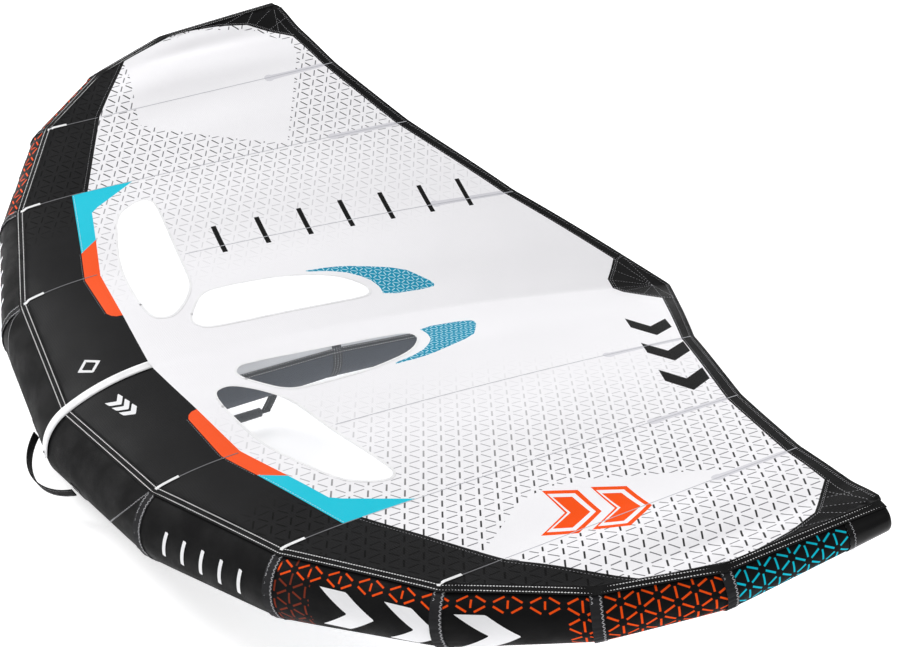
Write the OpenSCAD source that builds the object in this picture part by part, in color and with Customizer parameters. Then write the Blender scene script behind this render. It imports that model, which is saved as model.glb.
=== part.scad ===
// Inflatable hand wing, standing on the belly of its leading edge tube and on the tail of its strut.
// The wing is described in its own chord frame: the canopy seam at the middle of the leading edge
// is the zero point, Y runs back along the chord, X runs out along the span and Z is up.
// stand() then pitches it tail down and sets it on the floor plane. All lengths are in mm.

/* [Wing] */
// Laid-out area of the wing in square metres
wing_area = 4.0; // [3.8:0.1:4.4]
// Diameter of the leading edge tube at its middle
tube_d = 231; // [228:1:234]
// Rise of the canopy above its chord line at the middle
camber = 89; // [87:1:91]

/* [Cloth] */
// Thickness of every canopy sheet
canopy_t = 3; // [2.5:0.1:3.5]
// Wall of the woven casings of the tube and the strut
casing_t = 2; // [1.6:0.1:2.2]

/* [Strut] */
// Diameter of the strut where it meets the leading edge tube
strut_d = 168; // [160:1:172]

/* [Handles] */
// Diameter of the padded grips under the strut
grip_d = 25; // [22:1:28]
// Distance from the strut down to the axis of the front grip
front_drop = 62; // [58:1:66]
// Distance from the strut down to the axis of the rear grip
rear_drop = 54; // [52:1:56]
// Width of the webbing handle on the nose
nose_handle_w = 270; // [240:1:290]

/* [Valve] */
// Diameter of the valve mouth that takes the pump nozzle
valve_mouth_d = 24; // [22:0.5:25]

/* [Hidden] */
$fn = 64;
k = sqrt(wing_area / 4.0);

// ---- stations of one half, from the middle to the tip ----
// canopy seam along the leading edge
seam_line = k * [[0, 0, 0], [443, 48, 47], [826, 174, 110], [1149, 370, 190],
                 [1345, 604, 254], [1439, 842, 307], [1457, 1236, 373]];
// trailing edge
rear_line = k * [[0, 1829, 0], [448, 1552, 134], [827, 1392, 218], [1141, 1295, 293],
                 [1301, 1267, 334], [1400, 1251, 358], [1440, 1245, 369]];
tube_r = tube_d / 2 * [1, 0.9, 0.77, 0.632, 0.52, 0.416, 0.286];
// angle of the canopy seam round the tube, from straight ahead towards the top
seam_angle = [61, 68, 76, 83, 90, 97, 104];
rise = camber * [1, 0.416, 0.135, 0, 0, 0, 0];
last = len(seam_line) - 1;

pitch = 4.8;
belly_flat = 8;
fit_gap = 0.4;
seam_gap = 0.2;
canopy_gap = 3.2;
big = 5000;

function unit(v) = v / norm(v);
function seam_leg(i) = unit(seam_line[i + 1] - seam_line[i]);
function ring_dir(i) = i == 0 ? [1, 0, 0] : i == last ? seam_leg(last - 1) : unit(seam_leg(i - 1) + seam_leg(i));
function ring_up(i) = unit([0, 0, 1] - ring_dir(i) * ring_dir(i).z);
function ring_ahead(i) = cross(ring_dir(i), ring_up(i));
function ring_way(i, angle) = cos(angle) * ring_ahead(i) + sin(angle) * ring_up(i);
function ring_point(i, angle, off) = tube_c[i] + (tube_r[i] + off) * ring_way(i, angle);

// middle of the tube at each ring, and the plane that each ring lies in
tube_c = [for (i = [0:last]) seam_line[i] - tube_r[i] * ring_way(i, seam_angle[i])];
function leg_dir(c, i) = unit(c[i + 1] - c[i]);
function mitre(c, i) = i == len(c) - 1 ? leg_dir(c, i - 1) : unit(leg_dir(c, i - 1) + leg_dir(c, i));
tube_n = [for (i = [0:last]) i == 0 ? [1, 0, 0] : mitre(tube_c, i)];

// height of the floor once the wing is pitched
function pitched(p) = [p.x, p.y * cos(pitch) + p.z * sin(pitch), p.z * cos(pitch) - p.y * sin(pitch)];
floor_z = pitched(tube_c[0]).z - tube_r[0] + belly_flat;
depth_middle = 856 * k;

// ---- canopy surface ----
hump_at = 0.3;
chord_steps = [0, 0.03, 0.06, 0.1, 0.15, 0.21, 0.28, 0.38, 0.5, 0.62, 0.74, 0.85, 0.93, 1];
function hump(s) = s < hump_at ? 1 - pow(1 - s / hump_at, 4) : 1 - pow((s - hump_at) / (1 - hump_at), 2);
function sheet_point(i, s, off) =
    seam_line[i] + s * (rear_line[i] - seam_line[i]) + [0, 0, rise[i] * hump(s) + canopy_gap + off];
function sheet_row(i, off) = [for (s = chord_steps) sheet_point(i, s, off)];
function flip(row) = [for (p = row) [-p.x, p.y, p.z]];

// ---- outlines of the cloth pieces seen from above, one half ----
white_edge = [[1378, 687], [1149, 518], [825, 358]];
band_outline = concat([[0, -200], [1700, -200], [1700, 900]], white_edge,
                      [[824, 312], [552, 237], [435, 203], [265, 195], [235, 229], [0, 208]]);
orange_outline = [[265, 195], [435, 203], [552, 237], [594, 294], [438, 247], [235, 229]];
cyan_outline = [[552, 237], [824, 312], [825, 358], [824, 491], [740, 355], [720, 331], [594, 294]];
front_window_outline = [[195, 284], [350, 292], [470, 312], [565, 343], [675, 385], [715, 440], [728, 483],
                        [712, 503], [685, 508], [405, 468], [305, 450], [245, 415], [187, 362], [172, 326]];
rear_window_outline = [[140, 373], [200, 412], [246, 450], [262, 494], [258, 640], [248, 715], [212, 832],
                       [152, 890], [118, 893], [98, 865], [97, 640], [92, 420], [104, 390]];
accent_outline = [[256, 735], [250, 840], [236, 900], [192, 1028], [150, 1062], [112, 1087], [92, 1074],
                  [92, 918], [130, 926], [175, 912], [226, 850]];
centre_gore_outline = [[0, 208], [235, 229], [438, 247], [445, 249], [445, 1514], [122, 1705],
                       [80, 1668], [40, 1630], [0, 1622]];
middle_gore_outline = [[445, 249], [594, 294], [720, 331], [740, 355], [824, 491], [826, 491], [826, 1350],
                       [448, 1512], [445, 1514]];
outer_gore_outline = [[826, 359], [1145, 516], [1145, 1255], [1143, 1256], [829, 1349], [826, 1350]];
tip_gore_outline = [[1145, 516], [1149, 518], [1378, 687], [1700, 687], [1700, 890], [1442, 900], [1436, 960],
                    [1427, 1025], [1402, 1108], [1378, 1137], [1303, 1223], [1145, 1255]];
rear_band_outline = [[122, 1705], [448, 1512], [829, 1349], [1143, 1256], [1303, 1223], [1296, 1268],
                     [1285, 1500], [148, 2000], [148, 1760]];
rear_patch_outline = [[0, 1622], [40, 1630], [80, 1668], [122, 1705], [148, 1760], [148, 2000], [0, 2000]];
tip_patch_outline = [[1303, 1223], [1378, 1137], [1402, 1108], [1427, 1025], [1436, 960], [1442, 900],
                     [1700, 900], [1700, 1500], [1285, 1500], [1296, 1268]];

// ---- strut ----
chord = rear_line[0].y;
function centre_z(y) = rise[0] * hump(y / chord) + canopy_gap - 1.4;
strut_y = k * [120, 700, 1260, 1818];
floor_at_tail = (floor_z + strut_y[3] * sin(pitch)) / cos(pitch);
tail_flat = 3;
tail_r = (centre_z(strut_y[3]) - floor_at_tail + tail_flat) / 2;
strut_r = [strut_d / 2, strut_d * 0.42, strut_d * 0.31, tail_r];
strut_c = [for (i = [0:3]) [0, strut_y[i], centre_z(strut_y[i]) - strut_r[i]]];
strut_n = [for (i = [0:3]) i == 0 ? [0, 1, 0] : mitre(strut_c, i)];
split_line = [for (i = [0:3]) [strut_y[i], strut_c[i].z + 0.5 * strut_r[i]]];
cap_t = 14;

// ---- handles: [first anchor, second anchor] along Y, drop of the grip ----
front_anchors = k * [300, 560];
rear_anchors = k * [880, 1180];
webbing_t = 3;
webbing_w = 24;
core_r = 6;
function strut_leg_at(y) = y < strut_y[1] ? 0 : y < strut_y[2] ? 1 : 2;
function strut_mix(y) = let (i = strut_leg_at(y)) (y - strut_y[i]) / (strut_y[i + 1] - strut_y[i]);
function strut_low(y) =
    let (i = strut_leg_at(y), m = strut_mix(y))
    [0, y, (strut_c[i].z - strut_r[i]) * (1 - m) + (strut_c[i + 1].z - strut_r[i + 1]) * m];

// ---- nose handle ----
nose_angle = -32;
nose_bulge = 64;
nose_off = 11;
nose_half = nose_handle_w / 2;
nose_r = (nose_half * nose_half + nose_bulge * nose_bulge) / (2 * nose_bulge);
nose_sweep = 2 * asin(nose_half / nose_r);
function along_leg(f) = tube_c[0] + f * (tube_c[1] - tube_c[0]);
nose_mix = nose_half / tube_c[1].x;
nose_end_r = tube_r[0] + nose_mix * (tube_r[1] - tube_r[0]);
nose_line = [0, along_leg(nose_mix).y, along_leg(nose_mix).z]
            + (nose_end_r + nose_off) * [0, -cos(nose_angle), sin(nose_angle)];

// ---- valve, on the rear face of the tube to the right of the strut ----
valve_angle = 200;
valve_mix = 0.36;
valve_r = tube_r[0] + valve_mix * (tube_r[1] - tube_r[0]);
valve_way = ring_way(0, valve_angle);
valve_foot = along_leg(valve_mix) + valve_way * valve_r;
valve_wall = 5;
valve_h = 14;
valve_body_r = valve_mouth_d / 2 + valve_wall;
lug_off = valve_body_r + 6;
lug_z = valve_h + 2.6;

// ---- air hose from the tube to the strut, left of the strut ----
hose_r = 6;
hose_bend = 50;
hose_x = 98;
hose_y = 200;
hose_z = -45;

// ================= helpers =================

// the whole wing set down on the floor
module stand() {
    translate([0, -depth_middle, -floor_z]) rotate([-pitch, 0, 0]) children();
}

// everything higher than h above the floor, in the chord frame
module above_floor(h) {
    rotate([pitch, 0, 0]) translate([-big / 2, -big / 2, floor_z + h]) cube(big);
}

module aim(d) {
    rotate([0, acos(d.z / norm(d)), atan2(d.y, d.x)]) children();
}

// everything past a plane through point p, square to d
block = 1200;
module past(p, d) {
    translate(p) aim(d) translate([-block / 2, -block / 2, 0]) cube(block);
}

module beyond(c, n, i, shift) {
    past(c[i] + n[i] * shift, n[i]);
}

// one straight tapered leg of a tube, cut at the planes of its two rings
module tube_leg(c, n, r, i, grow, shift = seam_gap) {
    way = c[i + 1] - c[i];
    len_i = norm(way);
    over = 40;
    taper = (r[i + 1] - r[i]) / len_i;
    difference() {
        intersection() {
            translate(c[i]) aim(way) translate([0, 0, -over])
                cylinder(h = len_i + 2 * over, r1 = r[i] - taper * over + grow, r2 = r[i + 1] + taper * over + grow);
            beyond(c, n, i, shift);
        }
        beyond(c, n, i + 1, -shift);
    }
}

module edge_leg(i, grow, shift = seam_gap) {
    tube_leg(tube_c, tube_n, tube_r, i, grow, shift);
}

// closed sheet between two grids of points of the same size
module shell_solid(top, low) {
    n = len(top);
    m = len(top[0]);
    all_points = concat([for (row = top) for (p = row) p], [for (row = low) for (p = row) p]);
    under = n * m;
    top_faces = [for (i = [0:n - 2]) for (j = [0:m - 2]) let (a = i * m + j)
        each [[a, a + m + 1, a + m], [a, a + 1, a + m + 1]]];
    low_faces = [for (i = [0:n - 2]) for (j = [0:m - 2]) let (a = under + i * m + j)
        each [[a, a + m, a + m + 1], [a, a + m + 1, a + 1]]];
    front_faces = [for (i = [0:n - 2]) let (a = i * m, b = a + m)
        each [[a, b, b + under], [a, b + under, a + under]]];
    rear_faces = [for (i = [0:n - 2]) let (a = i * m + m - 1, b = a + m)
        each [[b, a, a + under], [b, a + under, b + under]]];
    first_faces = [for (j = [0:m - 2]) each [[j + 1, j, j + under], [j + 1, j + under, j + 1 + under]]];
    last_faces = [for (j = [0:m - 2]) let (a = (n - 1) * m + j)
        each [[a, a + 1, a + 1 + under], [a, a + 1 + under, a + under]]];
    polyhedron(all_points, concat(top_faces, low_faces, front_faces, rear_faces, first_faces, last_faces));
}

module half_canopy(a, b) {
    shell_solid([for (i = [a:b]) sheet_row(i, canopy_t)], [for (i = [a:b]) sheet_row(i, 0)]);
}

// closed tube through rings that all have the same number of points, with flat ends
module loft_tube(rings) {
    n = len(rings);
    m = len(rings[0]);
    sides = [for (i = [0:n - 2]) for (j = [0:m - 1]) let (a = i * m + j, b = i * m + (j + 1) % m)
        each [[a, b, b + m], [a, b + m, a + m]]];
    polyhedron([for (ring = rings) each ring],
               concat(sides, [[for (j = [m - 1:-1:0]) j]], [[for (j = [0:m - 1]) (n - 1) * m + j]]));
}

plan_low = -300;
plan_h = 1000;

// upright prisms over an outline seen from above: a hole of the full size, or a piece one seam gap smaller
module plan_hole(outline) {
    translate([0, 0, plan_low]) linear_extrude(plan_h) scale(k) polygon(outline);
}

module plan_cut(outline) {
    translate([0, 0, plan_low]) linear_extrude(plan_h) offset(delta = -seam_gap) scale(k) polygon(outline);
}

// a piece of the canopy between sections a and b, inside an outline seen from above
module cloth(outline, a, b) {
    intersection() {
        half_canopy(a, b);
        plan_cut(outline);
    }
}

module both_sides() {
    children();
    mirror([1, 0, 0]) children();
}

// ================= leading edge =================

gusset_lean = atan(k * 250 / (2 * tube_r[1]));
gusset_n = cos(gusset_lean) * tube_n[1] - sin(gusset_lean) * ring_up(1);

// everything outboard of the slanted gusset seam
module beyond_gusset(shift) {
    past(seam_line[1] + gusset_n * shift, gusset_n);
}

module flat_bellied(i, grow, floor_off) {
    intersection() {
        edge_leg(i, grow);
        above_floor(floor_off);
    }
}

module first_panel() {
    difference() {
        flat_bellied(0, 0, 0);
        flat_bellied_hollow();
        beyond_gusset(-seam_gap);
    }
}

module flat_bellied_hollow() {
    intersection() {
        edge_leg(0, -casing_t, -1);
        above_floor(casing_t);
    }
}

module gusset() {
    intersection() {
        difference() {
            edge_leg(0, 0);
            edge_leg(0, -casing_t, -1);
        }
        beyond_gusset(seam_gap);
    }
}

module edge_panel(i) {
    difference() {
        edge_leg(i, 0);
        edge_leg(i, -casing_t, -1);
    }
}

cap_len = 110 * k;
cap_from = tube_c[last] - tube_n[last] * cap_len;

module before_cap(shift) {
    past(cap_from - tube_n[last] * shift, -tube_n[last]);
}

module last_panel() {
    intersection() {
        edge_panel(5);
        before_cap(seam_gap);
    }
}

module tip_cap() {
    difference() {
        edge_leg(5, 0.6, 0);
        difference() {
            edge_leg(5, -casing_t, -1);
            beyond(tube_c, tube_n, last, -3);
        }
        before_cap(-seam_gap);
    }
}

module valve_hole() {
    translate(valve_foot) aim(valve_way) translate([0, 0, -30]) cylinder(h = 60, r = valve_body_r + 0.6);
}

module leading_edge_panel_1_left() {
    color("dimgray") difference() {
        first_panel();
        hose_holes();
    }
}

module leading_edge_panel_1_right() {
    color("dimgray") mirror([1, 0, 0]) difference() {
        first_panel();
        valve_hole();
    }
}

module leading_edge_panel_2_left() {
    color("gray") edge_panel(1);
}

module leading_edge_panel_2_right() {
    color("gray") mirror([1, 0, 0]) edge_panel(1);
}

module leading_edge_panel_3_left() {
    color("dimgray") edge_panel(2);
}

module leading_edge_panel_3_right() {
    color("dimgray") mirror([1, 0, 0]) edge_panel(2);
}

module leading_edge_panel_4_left() {
    color("gray") edge_panel(3);
}

module leading_edge_panel_4_right() {
    color("gray") mirror([1, 0, 0]) edge_panel(3);
}

module leading_edge_panel_5_left() {
    color("dimgray") edge_panel(4);
}

module leading_edge_panel_5_right() {
    color("dimgray") mirror([1, 0, 0]) edge_panel(4);
}

module leading_edge_panel_6_left() {
    color("gray") last_panel();
}

module leading_edge_panel_6_right() {
    color("gray") mirror([1, 0, 0]) last_panel();
}

module leading_edge_gussets() {
    color("slategray") both_sides() gusset();
}

module tip_cap_left() {
    color("black") tip_cap();
}

module tip_cap_right() {
    color("black") mirror([1, 0, 0]) tip_cap();
}

// the air-tight tube inside the casings, a thin closed shell from tip to tip
bladder_t = 1.5;
bladder_off = casing_t + 2;

bladder_sides = 32;
function bladder_ring(i, grow) = [for (a = [0:360 / bladder_sides:359]) ring_point(i, a, grow)];
function bladder_end(i, grow, back) = [for (p = bladder_ring(i, grow)) p - tube_n[i] * back];
function half_rings(grow, back) =
    concat([for (i = [0:last - 1]) bladder_ring(i, grow)], [bladder_end(last, grow, back)]);
function mirrored_rings(rings) = [for (i = [len(rings) - 1:-1:1]) flip(rings[i])];

module bladder_body(grow, back, floor_off) {
    intersection() {
        loft_tube(concat(mirrored_rings(half_rings(grow, back)), half_rings(grow, back)));
        above_floor(floor_off);
    }
}

module leading_edge_bladder() {
    color("lightblue") difference() {
        bladder_body(-bladder_off, 6, bladder_off);
        bladder_body(-bladder_off - bladder_t, 6 + bladder_t, bladder_off + bladder_t);
        mirror([1, 0, 0]) valve_hole();
        hose_holes();
    }
}

// tapes sewn round the tube over the joints between its panels
tape_w = 13;
tape_off = 0.4;
tape_t = 1.2;

module ring_tape(i) {
    for (leg = [i - 1, i]) {
        intersection() {
            difference() {
                edge_leg(leg, tape_off + tape_t);
                edge_leg(leg, tape_off, -1);
            }
            difference() {
                beyond(tube_c, tube_n, i, -tape_w);
                beyond(tube_c, tube_n, i, tape_w);
            }
        }
    }
}

module segment_seam_tapes() {
    color("darkgray") both_sides() for (i = [1:last - 1]) ring_tape(i);
}

// tape that carries the double stitching in front of the canopy
seam_tape_w = 22;
seam_tape_off = 2.6;
seam_tape_t = 1.4;
function tape_angle(i, dist) = seam_angle[i] - dist / tube_r[i] * 180 / PI;
function tape_row(i, off) = [for (d = [seam_tape_w, seam_tape_w / 2, 1]) ring_point(i, tape_angle(i, d), off)];

module canopy_seam_tape() {
    color("black") both_sides() intersection() {
        shell_solid([for (i = [0:last]) tape_row(i, seam_tape_off + seam_tape_t)],
                    [for (i = [0:last]) tape_row(i, seam_tape_off)]);
        translate([strip_w / 2 + 1, -big / 2, -big / 2]) cube(big);
    }
}

// ================= canopy =================

module front_band_left() {
    color("black") cloth(band_outline, 0, 5);
}

module front_band_right() {
    color("black") mirror([1, 0, 0]) cloth(band_outline, 0, 5);
}

module orange_accents() {
    color("orangered") both_sides() cloth(orange_outline, 0, 2);
}

module cyan_accents() {
    color("darkturquoise") both_sides() cloth(cyan_outline, 1, 2);
}

module centre_gore() {
    difference() {
        cloth(centre_gore_outline, 0, 2);
        for (hole = [front_window_outline, rear_window_outline, accent_outline])
            plan_hole(hole);
    }
}

module middle_gore() {
    difference() {
        cloth(middle_gore_outline, 1, 2);
        plan_hole(front_window_outline);
    }
}

module centre_gore_left() {
    color("white") centre_gore();
}

module centre_gore_right() {
    color("white") mirror([1, 0, 0]) centre_gore();
}

module middle_gore_left() {
    color("gainsboro") middle_gore();
}

module middle_gore_right() {
    color("gainsboro") mirror([1, 0, 0]) middle_gore();
}

module outer_gore_left() {
    color("white") cloth(outer_gore_outline, 1, 3);
}

module outer_gore_right() {
    color("white") mirror([1, 0, 0]) cloth(outer_gore_outline, 1, 3);
}

module tip_gore_left() {
    color("gainsboro") cloth(tip_gore_outline, 2, 6);
}

module tip_gore_right() {
    color("gainsboro") mirror([1, 0, 0]) cloth(tip_gore_outline, 2, 6);
}

module front_window_left() {
    color("slategray") cloth(front_window_outline, 0, 2);
}

module front_window_right() {
    color("slategray") mirror([1, 0, 0]) cloth(front_window_outline, 0, 2);
}

module rear_window_left() {
    color("slategray") cloth(rear_window_outline, 0, 1);
}

module rear_window_right() {
    color("slategray") mirror([1, 0, 0]) cloth(rear_window_outline, 0, 1);
}

module window_accents() {
    color("teal") both_sides() cloth(accent_outline, 0, 1);
}

module trailing_band_left() {
    color("black") cloth(rear_band_outline, 0, 5);
}

module trailing_band_right() {
    color("black") mirror([1, 0, 0]) cloth(rear_band_outline, 0, 5);
}

module tip_patch_left() {
    color("black") cloth(tip_patch_outline, 3, 6);
}

module tip_patch_right() {
    color("black") mirror([1, 0, 0]) cloth(tip_patch_outline, 3, 6);
}

module trailing_centre_patch() {
    color("black") intersection() {
        shell_solid([flip(sheet_row(1, canopy_t)), sheet_row(0, canopy_t), sheet_row(1, canopy_t)],
                    [flip(sheet_row(1, 0)), sheet_row(0, 0), sheet_row(1, 0)]);
        plan_cut(concat(rear_patch_outline, [for (i = [len(rear_patch_outline) - 2:-1:1])
            [-rear_patch_outline[i].x, rear_patch_outline[i].y]]));
    }
}

// stiff battens in pockets under the three seams of each half
batten_w = 16;
batten_t = 2;
batten_from = [0.83, 0.8, 0.74];
batten_lean = 0.25;

module batten(i) {
    side = [batten_w / 2, 0, batten_w / 2 * batten_lean];
    steps = [for (s = [batten_from[i - 1], (batten_from[i - 1] + 0.985) / 2, 0.985]) s];
    shell_solid([for (e = [-1, 1]) [for (s = steps) sheet_point(i, s, -3) + e * side]],
                [for (e = [-1, 1]) [for (s = steps) sheet_point(i, s, -3 - batten_t) + e * side]]);
}

module battens() {
    color("lightgray") both_sides() for (i = [1:3]) batten(i);
}

// light strip over the joint at the middle, from the white cloth over the top to the nose
strip_w = 26;
strip_t = 1.2;
strip_off = 0.5;
strip_end_angle = -12;
strip_lean = [0, 0.108, 0.106];

strip_start = 0.73;
function strip_profile(off) = concat(
    [strip_start * sheet_point(0, 0.1, canopy_t + off) + (1 - strip_start) * sheet_point(0, 0.15, canopy_t + off)],
    [for (s = [0.1, 0.06, 0.03, 0.003]) sheet_point(0, s, canopy_t + off)],
    [for (a = [56:-10:strip_end_angle]) ring_point(0, a, canopy_gap + canopy_t + off - 0.4)]);
function strip_row(x, off) = [for (p = strip_profile(off)) p + [x, 0, 0] + abs(x) * strip_lean];

module centre_strip() {
    color("white") shell_solid(
        [for (x = [strip_w / 2, 0, -strip_w / 2]) strip_row(x, strip_off + strip_t)],
        [for (x = [strip_w / 2, 0, -strip_w / 2]) strip_row(x, strip_off)]);
}

// ================= strut =================

module strut_leg(i, grow, shift = 0) {
    tube_leg(strut_c, strut_n, strut_r, i, grow, shift);
}

// one leg of the strut's casing, hollowed by one wall
module strut_casing_leg(i) {
    difference() {
        intersection() {
            strut_leg(i, 0, seam_gap);
            above_floor(0);
        }
        intersection() {
            strut_leg(i, -casing_t, -1);
            above_floor(casing_t);
        }
        if (i == 0) both_sides() edge_leg(0, 2, -1);
    }
}

module strut_shell() {
    for (i = [0:2]) strut_casing_leg(i);
}

// the region above the seam between the light top panel and the dark lower casing
module above_split(shift) {
    translate([-150, 0, 0]) rotate([90, 0, 90]) linear_extrude(300)
        polygon(concat([[split_line[0].x - 50, split_line[0].y + shift]],
                       [for (p = split_line) [p.x, p.y + shift]],
                       [[split_line[3].x + 50, split_line[3].y + shift], [strut_y[3] + 50, 300], [0, 300]]));
}

module strut_top_panel() {
    color("white") intersection() {
        strut_shell();
        above_split(seam_gap);
    }
}

module strut_lower_casing() {
    color("darkslategray") difference() {
        strut_shell();
        above_split(-seam_gap);
        hose_holes();
    }
}

strut_bladder_from = 190 * k;
function strut_ring(y, centre, r, grow) = [for (a = [0:360 / bladder_sides:359])
    centre + (r + grow) * [cos(a), 0, sin(a)] + [0, y - centre.y, 0]];
function strut_front_mix() = (strut_bladder_from - strut_y[0]) / (strut_y[1] - strut_y[0]);
function strut_rings(grow, inset) = let (m = strut_front_mix()) [
    strut_ring(strut_bladder_from + inset, strut_c[0] + m * (strut_c[1] - strut_c[0]),
               strut_r[0] + m * (strut_r[1] - strut_r[0]), grow),
    strut_ring(strut_y[1], strut_c[1], strut_r[1], grow),
    strut_ring(strut_y[2], strut_c[2], strut_r[2], grow),
    strut_ring(strut_y[3] - 6 - inset, strut_c[3], strut_r[3], grow)];

module strut_bladder_body(grow, inset, floor_off) {
    intersection() {
        loft_tube(strut_rings(grow, inset));
        above_floor(floor_off);
    }
}

module strut_bladder() {
    color("lightblue") difference() {
        strut_bladder_body(-bladder_off, 0, bladder_off);
        strut_bladder_body(-bladder_off - bladder_t, bladder_t, bladder_off + bladder_t);
        hose_holes();
    }
}

cap_edge = 5;
cap_r = tail_r - 0.3;

module strut_tail_cap() {
    color("black") intersection() {
        translate(strut_c[3] + strut_n[3] * fit_gap) aim(strut_n[3]) union() {
            cylinder(h = cap_t - cap_edge, r = cap_r);
            translate([0, 0, cap_t - cap_edge]) cylinder(h = cap_edge, r1 = cap_r, r2 = cap_r - cap_edge);
        }
        above_floor(0.05);
    }
}

// ================= handles =================

module handle_frame(anchors) {
    first = strut_low(anchors[0]);
    second = strut_low(anchors[1]);
    slope = atan2(second.z - first.z, second.y - first.y);
    translate(first) rotate([slope, 0, 0]) children();
}

function handle_span(anchors) = norm(strut_low(anchors[1]) - strut_low(anchors[0]));

patch_t = 2.5;
hinge_off = patch_t + fit_gap + 2.4;
leg_lean = 30;

// webbing strap: two legs and the core that runs through the grip
module handle_strap(anchors, drop) {
    span = handle_span(anchors);
    leg_h = drop - hinge_off;
    handle_frame(anchors) {
        for (end = [0, 1]) {
            y_top = end * span;
            y_low = end == 0 ? leg_lean : span - leg_lean;
            hull() {
                translate([-webbing_t / 2, y_top - webbing_w / 2, -hinge_off]) rotate([-90, 0, 0])
                    translate([webbing_t / 2, 0, 0]) cylinder(h = webbing_w, r = webbing_t / 2, $fn = 32);
                translate([-webbing_t / 2, y_low - webbing_w / 2, -hinge_off - leg_h]) rotate([-90, 0, 0])
                    translate([webbing_t / 2, 0, 0]) cylinder(h = webbing_w, r = webbing_t / 2, $fn = 32);
            }
        }
        translate([0, leg_lean - webbing_w / 2, -drop]) rotate([-90, 0, 0])
            cylinder(h = span - 2 * leg_lean + webbing_w, r = core_r);
    }
}

grip_edge = 3;

module handle_grip(anchors, drop) {
    span = handle_span(anchors);
    from = leg_lean + webbing_w / 2 + 1;
    inner = core_r + 0.3;
    outer = grip_d / 2;
    len_g = span - 2 * from;
    handle_frame(anchors) translate([0, from, -drop]) rotate([-90, 0, 0]) rotate_extrude()
        polygon([[inner, 0], [outer - grip_edge, 0], [outer, grip_edge],
                 [outer, len_g - grip_edge], [outer - grip_edge, len_g], [inner, len_g]]);
}

module front_handle_strap() {
    color("dimgray") handle_strap(front_anchors, front_drop);
}

module front_handle_grip() {
    color("black") handle_grip(front_anchors, front_drop);
}

module rear_handle_strap() {
    color("dimgray") handle_strap(rear_anchors, rear_drop);
}

module rear_handle_grip() {
    color("black") handle_grip(rear_anchors, rear_drop);
}

// reinforcement patches that the straps are sewn to
module handle_anchor_patches() {
    patch_l = 60;
    patch_w = 34;
    color("black") for (anchors = [front_anchors, rear_anchors], end = [0, 1])
        handle_frame(anchors) translate([-patch_w / 2, end * handle_span(anchors) - patch_l / 2, -fit_gap - patch_t])
            cube([patch_w, patch_l, patch_t]);
}

// arc of webbing in front of the nose, in a plane that slopes down and forwards
module nose_handle_strap() {
    color("black") translate(nose_line) rotate([-nose_angle, 0, 0])
        translate([0, nose_r - nose_bulge, 0]) rotate([0, 0, 270 - nose_sweep / 2])
        rotate_extrude(angle = nose_sweep)
        translate([nose_r - webbing_t, -webbing_w / 2]) square([webbing_t, webbing_w]);
}

module nose_handle_patches() {
    patch_w = 50;
    patch_l = 46;
    color("black") both_sides() intersection() {
        difference() {
            edge_leg(0, 2.5);
            edge_leg(0, 0.5, -1);
        }
        translate([nose_half - patch_l / 2, nose_line.y, nose_line.z]) rotate([-nose_angle, 0, 0])
            translate([0, -60, -patch_w / 2]) cube([patch_l, 120, patch_w]);
    }
}

// ================= valve =================

// Z points out of the mouth, and zero is on the tube's surface
module at_valve() {
    mirror([1, 0, 0]) translate(valve_foot) aim(valve_way) children();
}

flange_r = 30;
flange_t = 2.1;
body_below = 12;
throat_r = 8;
web_z = -9;
web_t = 3;
stem_r = 1.4;
air_hole_at = 5.2;
air_hole_r = 1.7;
lug_t = 3;
lug_r = 3;
lug_side = 6.5;
pin_r = 1.2;
cap_gap = 0.4;
valve_cap_t = 4;
tongue_w = 8;

// the part of the flange that follows the tube's surface
module valve_flange() {
    mirror([1, 0, 0]) difference() {
        intersection() {
            difference() {
                edge_leg(0, 0.5 + flange_t);
                edge_leg(0, 0.5, -1);
            }
            translate(valve_foot) aim(valve_way) translate([0, 0, -20]) cylinder(h = 40, r = flange_r);
        }
        translate(valve_foot) aim(valve_way) translate([0, 0, -40]) cylinder(h = 80, r = valve_body_r - 2);
    }
}

module valve_barrel() {
    difference() {
        translate([0, 0, -body_below]) cylinder(h = valve_h + body_below, r = valve_body_r);
        cylinder(h = valve_h + 1, r = valve_mouth_d / 2);
        translate([0, 0, -body_below - 1]) cylinder(h = body_below + 2, r = throat_r);
    }
}

// perforated disc across the throat that guides the stem
module valve_web() {
    difference() {
        translate([0, 0, web_z]) cylinder(h = web_t, r = throat_r + 1);
        translate([0, 0, web_z - 1]) cylinder(h = web_t + 2, r = stem_r + 0.3);
        for (a = [0:60:300])
            rotate([0, 0, a]) translate([air_hole_at, 0, web_z - 1]) cylinder(h = web_t + 2, r = air_hole_r);
    }
}

module valve_lug(side) {
    difference() {
        hull() {
            translate([lug_off, side * lug_side - lug_t / 2, lug_z]) rotate([-90, 0, 0])
                cylinder(h = lug_t, r = lug_r, $fn = 32);
            translate([valve_body_r - 2, side * lug_side - lug_t / 2, 4]) cube([3, lug_t, 6]);
        }
        translate([lug_off, -10, lug_z]) rotate([-90, 0, 0]) cylinder(h = 20, r = pin_r + 0.1);
    }
}

module valve_body() {
    color("gray") union() {
        valve_flange();
        at_valve() {
            valve_barrel();
            valve_web();
            for (side = [-1, 1]) valve_lug(side);
        }
    }
}

disc_r = 11;
disc_t = 1.7;
disc_z = -14;
stem_top = -1;
knob_r = 2.6;

module valve_check_disc() {
    color("tomato") at_valve() {
        translate([0, 0, disc_z]) cylinder(h = disc_t, r = disc_r);
        translate([0, 0, disc_z + 1]) cylinder(h = stem_top - disc_z - 1, r = stem_r);
        translate([0, 0, stem_top - 0.4]) cylinder(h = 1, r = knob_r);
    }
}

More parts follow.
